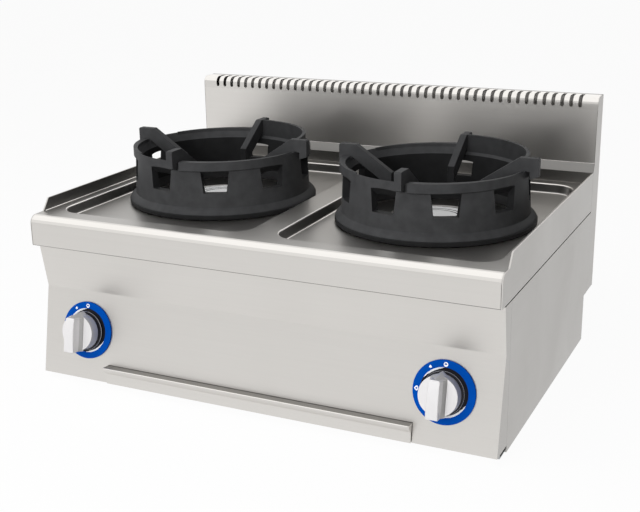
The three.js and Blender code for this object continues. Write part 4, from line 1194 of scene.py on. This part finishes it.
class WOKRANGE_OT_knobs(Operator):
    """Silver knobs with a long grip bar, flared foot, pointer and two flat lobes"""

    bl_idname = "wok_range.knobs"
    bl_label = "Knobs"

    def execute(self, context):
        for side, sign in SIDES.items():
            place = on_tap(sign)
            finish_piece(
                joined([self.disc(place), self.grip(place), self.pointer(place)], f"knob_{side}_body"),
                ["knob_silver", "knob_shade", "recess_black"], f"handle_{side}",
                [f"knob_{side}"], 32.0,
                self.paint, from_tap(sign),
            )
            dress_nodes([f"tap_stem_{side}"], "polished_steel")
        return {"FINISHED"}

    @staticmethod
    def paint(u, v, h, normal):
        """Bright front and lobes; painted shade on the skirt, groove, flared foot, pointer and bead, and a
        near-black painted shade on the collar.
        """
        collar_top, lobe_front, grip_foot = 13.1, 30.2, 36.0
        reach = math.hypot(u, v)
        if h < collar_top and reach > 26:
            return "knob_shade" if reach > 32.2 else "recess_black"
        flared = 9.3 < abs(u) < 12.5 and h < grip_foot
        on_pointer = v > 26.9 and h < 48.5
        return "knob_shade" if h < lobe_front or flared or on_pointer else "knob_silver"

    @staticmethod
    def disc(place):
        """Skirt with a thin bead and a collar at its foot, which paint() gives a near-black painted shade,
        and two lobes with a groove between.
        """
        profile = [
            (4.05, 5), (15, 5), (15, 6), (31.4, 6), (32.2, 6.5), (32.5, 7.2), (32.2, 7.9), (31.4, 8.3),
            (28.6, 8.6), (28.6, 12.6), (29.4, 13.0), (30, 13.8), (30, 29.6), (29.7, 30.4), (29.0, 30.8),
            (0, 30.8), (0, 25), (4.05, 25),
        ]
        groove = [(-13.6, 32), (-12.2, 28.6), (12.2, 28.6), (13.6, 32)]
        body = build("knob_disc", place, lathe, (profile, 120))
        cut_with(body, build("knob_groove", place, prism, (groove, "y", -34, 34)))
        return round_edges(body, 0.3 * MM, 2, 40.0)

    @staticmethod
    def grip(place):
        """The bar with its crowned front, narrower at the upper end, and its foot flared into the groove."""
        stations = [
            (-30.0, 9.5, 8.2, 50.6), (-29.2, 9.5, 8.3, 51.4), (-20.0, 9.4, 8.7, 52.4), (-8.0, 9.2, 9.0, 53.0),
            (6.0, 9.0, 8.9, 53.0), (18.0, 8.8, 8.7, 52.0), (25.0, 8.6, 8.6, 50.6), (26.4, 7.9, 8.4, 49.8),
            (27.2, 6.4, 8.2, 49.2),
        ]
        loops = []
        for v, front, foot, high in stations:
            side = [(12.6, 27.5), (12.2, 28.9), (foot, 36.2), (front - 0.1, high - 1.0), (front - 0.9, high)]
            loops.append([(u, v, h) for u, h in side] + [(-u, v, h) for u, h in side[::-1]])
        return round_edges(build("knob_grip", place, loft, (loops,)), 0.35 * MM, 2, 55.0)

    @staticmethod
    def pointer(place):
        """A ridge from the bar's upper end down and out past the lobes to a point."""
        bm = bmesh.new()
        middle = ((0, 34.2, 20.0), (0, 34.2, 15.0), (0, 26.8, 47.4), (0, 20.0, 15.0))
        peak, base, crest, back = (bm.verts.new(point) for point in middle)
        crowns = []
        for sign in (-1, 1):
            wing = ((sign * 11.5, 26.0, 31.0), (sign * 7.4, 25.4, 47.6), (sign * 11.5, 26.0, 15.0))
            low, high, foot = (bm.verts.new(point) for point in wing)
            for face in ((crest, high, low), (crest, low, peak), (peak, low, foot, base), (base, foot, back)):
                bm.faces.new(face)
            bm.faces.new((high, low, foot, back))
            crowns.append(high)
        bm.faces.new((crest, crowns[0], back, crowns[1]))
        return new_object("knob_pointer", bm, place)


class WOKRANGE_OT_gas_line(Operator):
    """Taps, manifold, supply pipes, pilot lines and the gas inlet"""

    bl_idname = "wok_range.gas_line"
    bl_label = "Gas line"

    def execute(self, context):
        for side in SIDES:
            dress_nodes([f"tap_body_{side}", f"tap_plug_{side}"], "brass")
            dress_nodes([f"supply_pipe_{side}", f"pilot_line_{side}", f"thermocouple_{side}"], "copper")
            dress_nodes([f"manifold_post_{side}"], "galvanised")
        dress_nodes(["gas_manifold"], "galvanised")
        dress_nodes(["manifold_elbow", "manifold_plug"], "brass")
        self.inlet()
        return {"FINISHED"}

    @staticmethod
    def inlet():
        """Inlet pipe with its threaded end."""
        low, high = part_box("gas_inlet")
        radius = (high[0] - low[0]) / 2 / MM
        length = (high[1] - low[1]) / MM
        axis = Vector(((low[0] + high[0]) / 2, low[1], (low[2] + high[2]) / 2))
        outer = [(radius - 2.5, 0), (radius, 0), (radius, length - 20)]
        for i in range(9):
            z = length - 19 + i * 2
            outer += [(radius - 0.1, z), (radius - 1.0, z + 1)]
        outer += [(radius - 0.9, length - 0.6), (radius - 1.4, length), (radius - 2.5, length)]
        pipe = build("inlet_pipe", lambda x, y, z: axis + Vector((x, z, y)) * MM, lathe, (outer, 48))
        finish_piece(pipe, ["galvanised"], "range", ["gas_inlet"], 35.0)


# ---------------------------------------------------------------- studio
class WOKRANGE_OT_stage(Operator):
    """Pale floor, soft light, white background and the camera"""

    bl_idname = "wok_range.stage"
    bl_label = "Stage"

    def execute(self, context):
        self.floor()
        self.sky(context.scene)
        studio = context.scene.wok_range_studio
        self.soft_box("key_light", (-0.7, -0.9, 2.3), (0, 0.0, 0.25), (2.2, 1.5), studio.key)
        self.soft_box("left_light", (-2.4, -0.8, 1.1), (0, 0.0, 0.25), (1.6, 1.6), studio.left)
        self.soft_box("front_light", (0.2, -2.9, 1.0), (0, 0.0, 0.15), (1.8, 1.4), studio.front)
        self.camera(context.scene)
        context.scene.view_settings.view_transform = "Standard"
        return {"FINISHED"}

    @staticmethod
    def seen_directly(tree):
        """1 for rays from the camera, mirrors and glass, and 0 for light that falls on the object."""
        rays = node(tree, "ShaderNodeLightPath").outputs
        first = calculate(tree, "MAXIMUM", rays["Is Camera Ray"], rays["Is Glossy Ray"])
        return calculate(tree, "MAXIMUM", first, rays["Is Transmission Ray"])

    def floor(self):
        bm = bmesh.new()
        bmesh.ops.create_grid(bm, x_segments=24, y_segments=24, size=9.0)
        floor = add_object("floor", mesh_from("floor", bm))
        floor.location.z = -0.0004
        material = bpy.data.materials.new("pale_floor")
        material.use_nodes = True
        tree = material.node_tree
        shader = tree.nodes["Principled BSDF"]
        shader.inputs["Base Color"].default_value = (0.9, 0.9, 0.9, 1)
        shader.inputs["Roughness"].default_value = 0.9
        glow = node(tree, "ShaderNodeEmission", {"Color": (1, 1, 1, 1), "Strength": 1.0})
        share = calculate(tree, "MULTIPLY", self.seen_directly(tree), 0.95)
        mix = node(tree, "ShaderNodeMixShader", {0: share, 1: shader.outputs[0], 2: glow.outputs[0]})
        tree.links.new(mix.outputs[0], tree.nodes["Material Output"].inputs["Surface"])
        floor.data.materials.append(material)

    def sky(self, scene):
        """An even sky that only lights, behind a backdrop that is only seen."""
        world = bpy.data.worlds.new("studio_sky")
        world.use_nodes = True
        scene.world = world
        tree = world.node_tree
        tree.nodes.clear()
        studio = scene.wok_range_studio
        lit = node(tree, "ShaderNodeBackground", {"Color": (1, 1, 1, 1), "Strength": studio.sky}).outputs[0]
        seen = node(tree, "ShaderNodeBackground", {"Color": tuple(studio.backdrop) + (1,)}).outputs[0]
        mix = node(tree, "ShaderNodeMixShader", {0: self.seen_directly(tree), 1: lit, 2: seen})
        node(tree, "ShaderNodeOutputWorld", {"Surface": mix.outputs[0]})

    @staticmethod
    def soft_box(name, place, target, size, power):
        lamp = bpy.data.lights.new(name, "AREA")
        lamp.shape = "RECTANGLE"
        lamp.size, lamp.size_y = size
        lamp.energy = power
        piece = add_object(name, lamp)
        piece.visible_glossy = False
        piece.location = place
        aim = Vector(target) - Vector(place)
        piece.rotation_euler = aim.to_track_quat("-Z", "Y").to_euler()

    @staticmethod
    def camera(scene):
        """Camera at the viewing angle of the picture it was matched to."""
        yaw, pitch, roll = 0.4483, 0.3027, -0.0158
        focal_pixels, width_pixels, sensor = 1096.42, 640.0, 36.0
        forward = Vector(
            (-math.sin(yaw) * math.cos(pitch), math.cos(yaw) * math.cos(pitch), -math.sin(pitch))
        )
        level = Vector((math.cos(yaw), math.sin(yaw), 0))
        over = level.cross(forward)
        right = level * math.cos(roll) + over * math.sin(roll)
        up = over * math.cos(roll) - level * math.sin(roll)
        data = bpy.data.cameras.new("camera")
        data.sensor_width = sensor
        data.lens = focal_pixels * sensor / width_pixels
        data.clip_start = 0.05
        camera = add_object("camera", data)
        turn = Matrix((right, up, -forward)).transposed()
        camera.matrix_world = Matrix.Translation(at(782.92, -1361.80, 753.21)) @ turn.to_4x4()
        scene.camera = camera


# ---------------------------------------------------------------- the panel in the sidebar
class WOKRANGE_PT_sidebar(Panel):
    """Lists the settings and the steps that build the range"""

    bl_idname = "WOKRANGE_PT_sidebar"
    bl_label = "Wok range"
    bl_space_type = "VIEW_3D"
    bl_region_type = "UI"
    bl_category = "Wok range"

    def draw(self, context):
        scene = context.scene
        for group in (scene.wok_range_sizes, scene.wok_range_colours, scene.wok_range_studio):
            box = self.layout.box()
            for name in group.__annotations__:
                box.prop(group, name)
        for step in STEPS:
            self.layout.operator(step.bl_idname)


STEPS = (
    WOKRANGE_OT_stage,
    WOKRANGE_OT_worktop,
    WOKRANGE_OT_front_panel,
    WOKRANGE_OT_flue,
    WOKRANGE_OT_cabinet,
    WOKRANGE_OT_drip_tray,
    WOKRANGE_OT_wok_rings,
    WOKRANGE_OT_burners,
    WOKRANGE_OT_bezels,
    WOKRANGE_OT_knobs,
    WOKRANGE_OT_gas_line,
)
GROUPS = {
    "wok_range_sizes": WokRangeSizes,
    "wok_range_colours": WokRangeColours,
    "wok_range_studio": WokRangeStudio,
}


def register():
    for kind in (*GROUPS.values(), *STEPS, WOKRANGE_PT_sidebar):
        bpy.utils.register_class(kind)
    for name, kind in GROUPS.items():
        setattr(bpy.types.Scene, name, PointerProperty(type=kind))


def unregister():
    for name in GROUPS:
        delattr(bpy.types.Scene, name)
    for kind in (WOKRANGE_PT_sidebar, *reversed(STEPS), *reversed(GROUPS.values())):
        bpy.utils.unregister_class(kind)


def main():
    register()
    bpy.ops.wok_range.stage()
    bpy.ops.wok_range.worktop()
    bpy.ops.wok_range.front_panel()
    bpy.ops.wok_range.flue()
    bpy.ops.wok_range.cabinet()
    bpy.ops.wok_range.drip_tray()
    bpy.ops.wok_range.wok_rings()
    bpy.ops.wok_range.burners()
    bpy.ops.wok_range.bezels()
    bpy.ops.wok_range.knobs()
    bpy.ops.wok_range.gas_line()


if __name__ == "__main__":
    main()
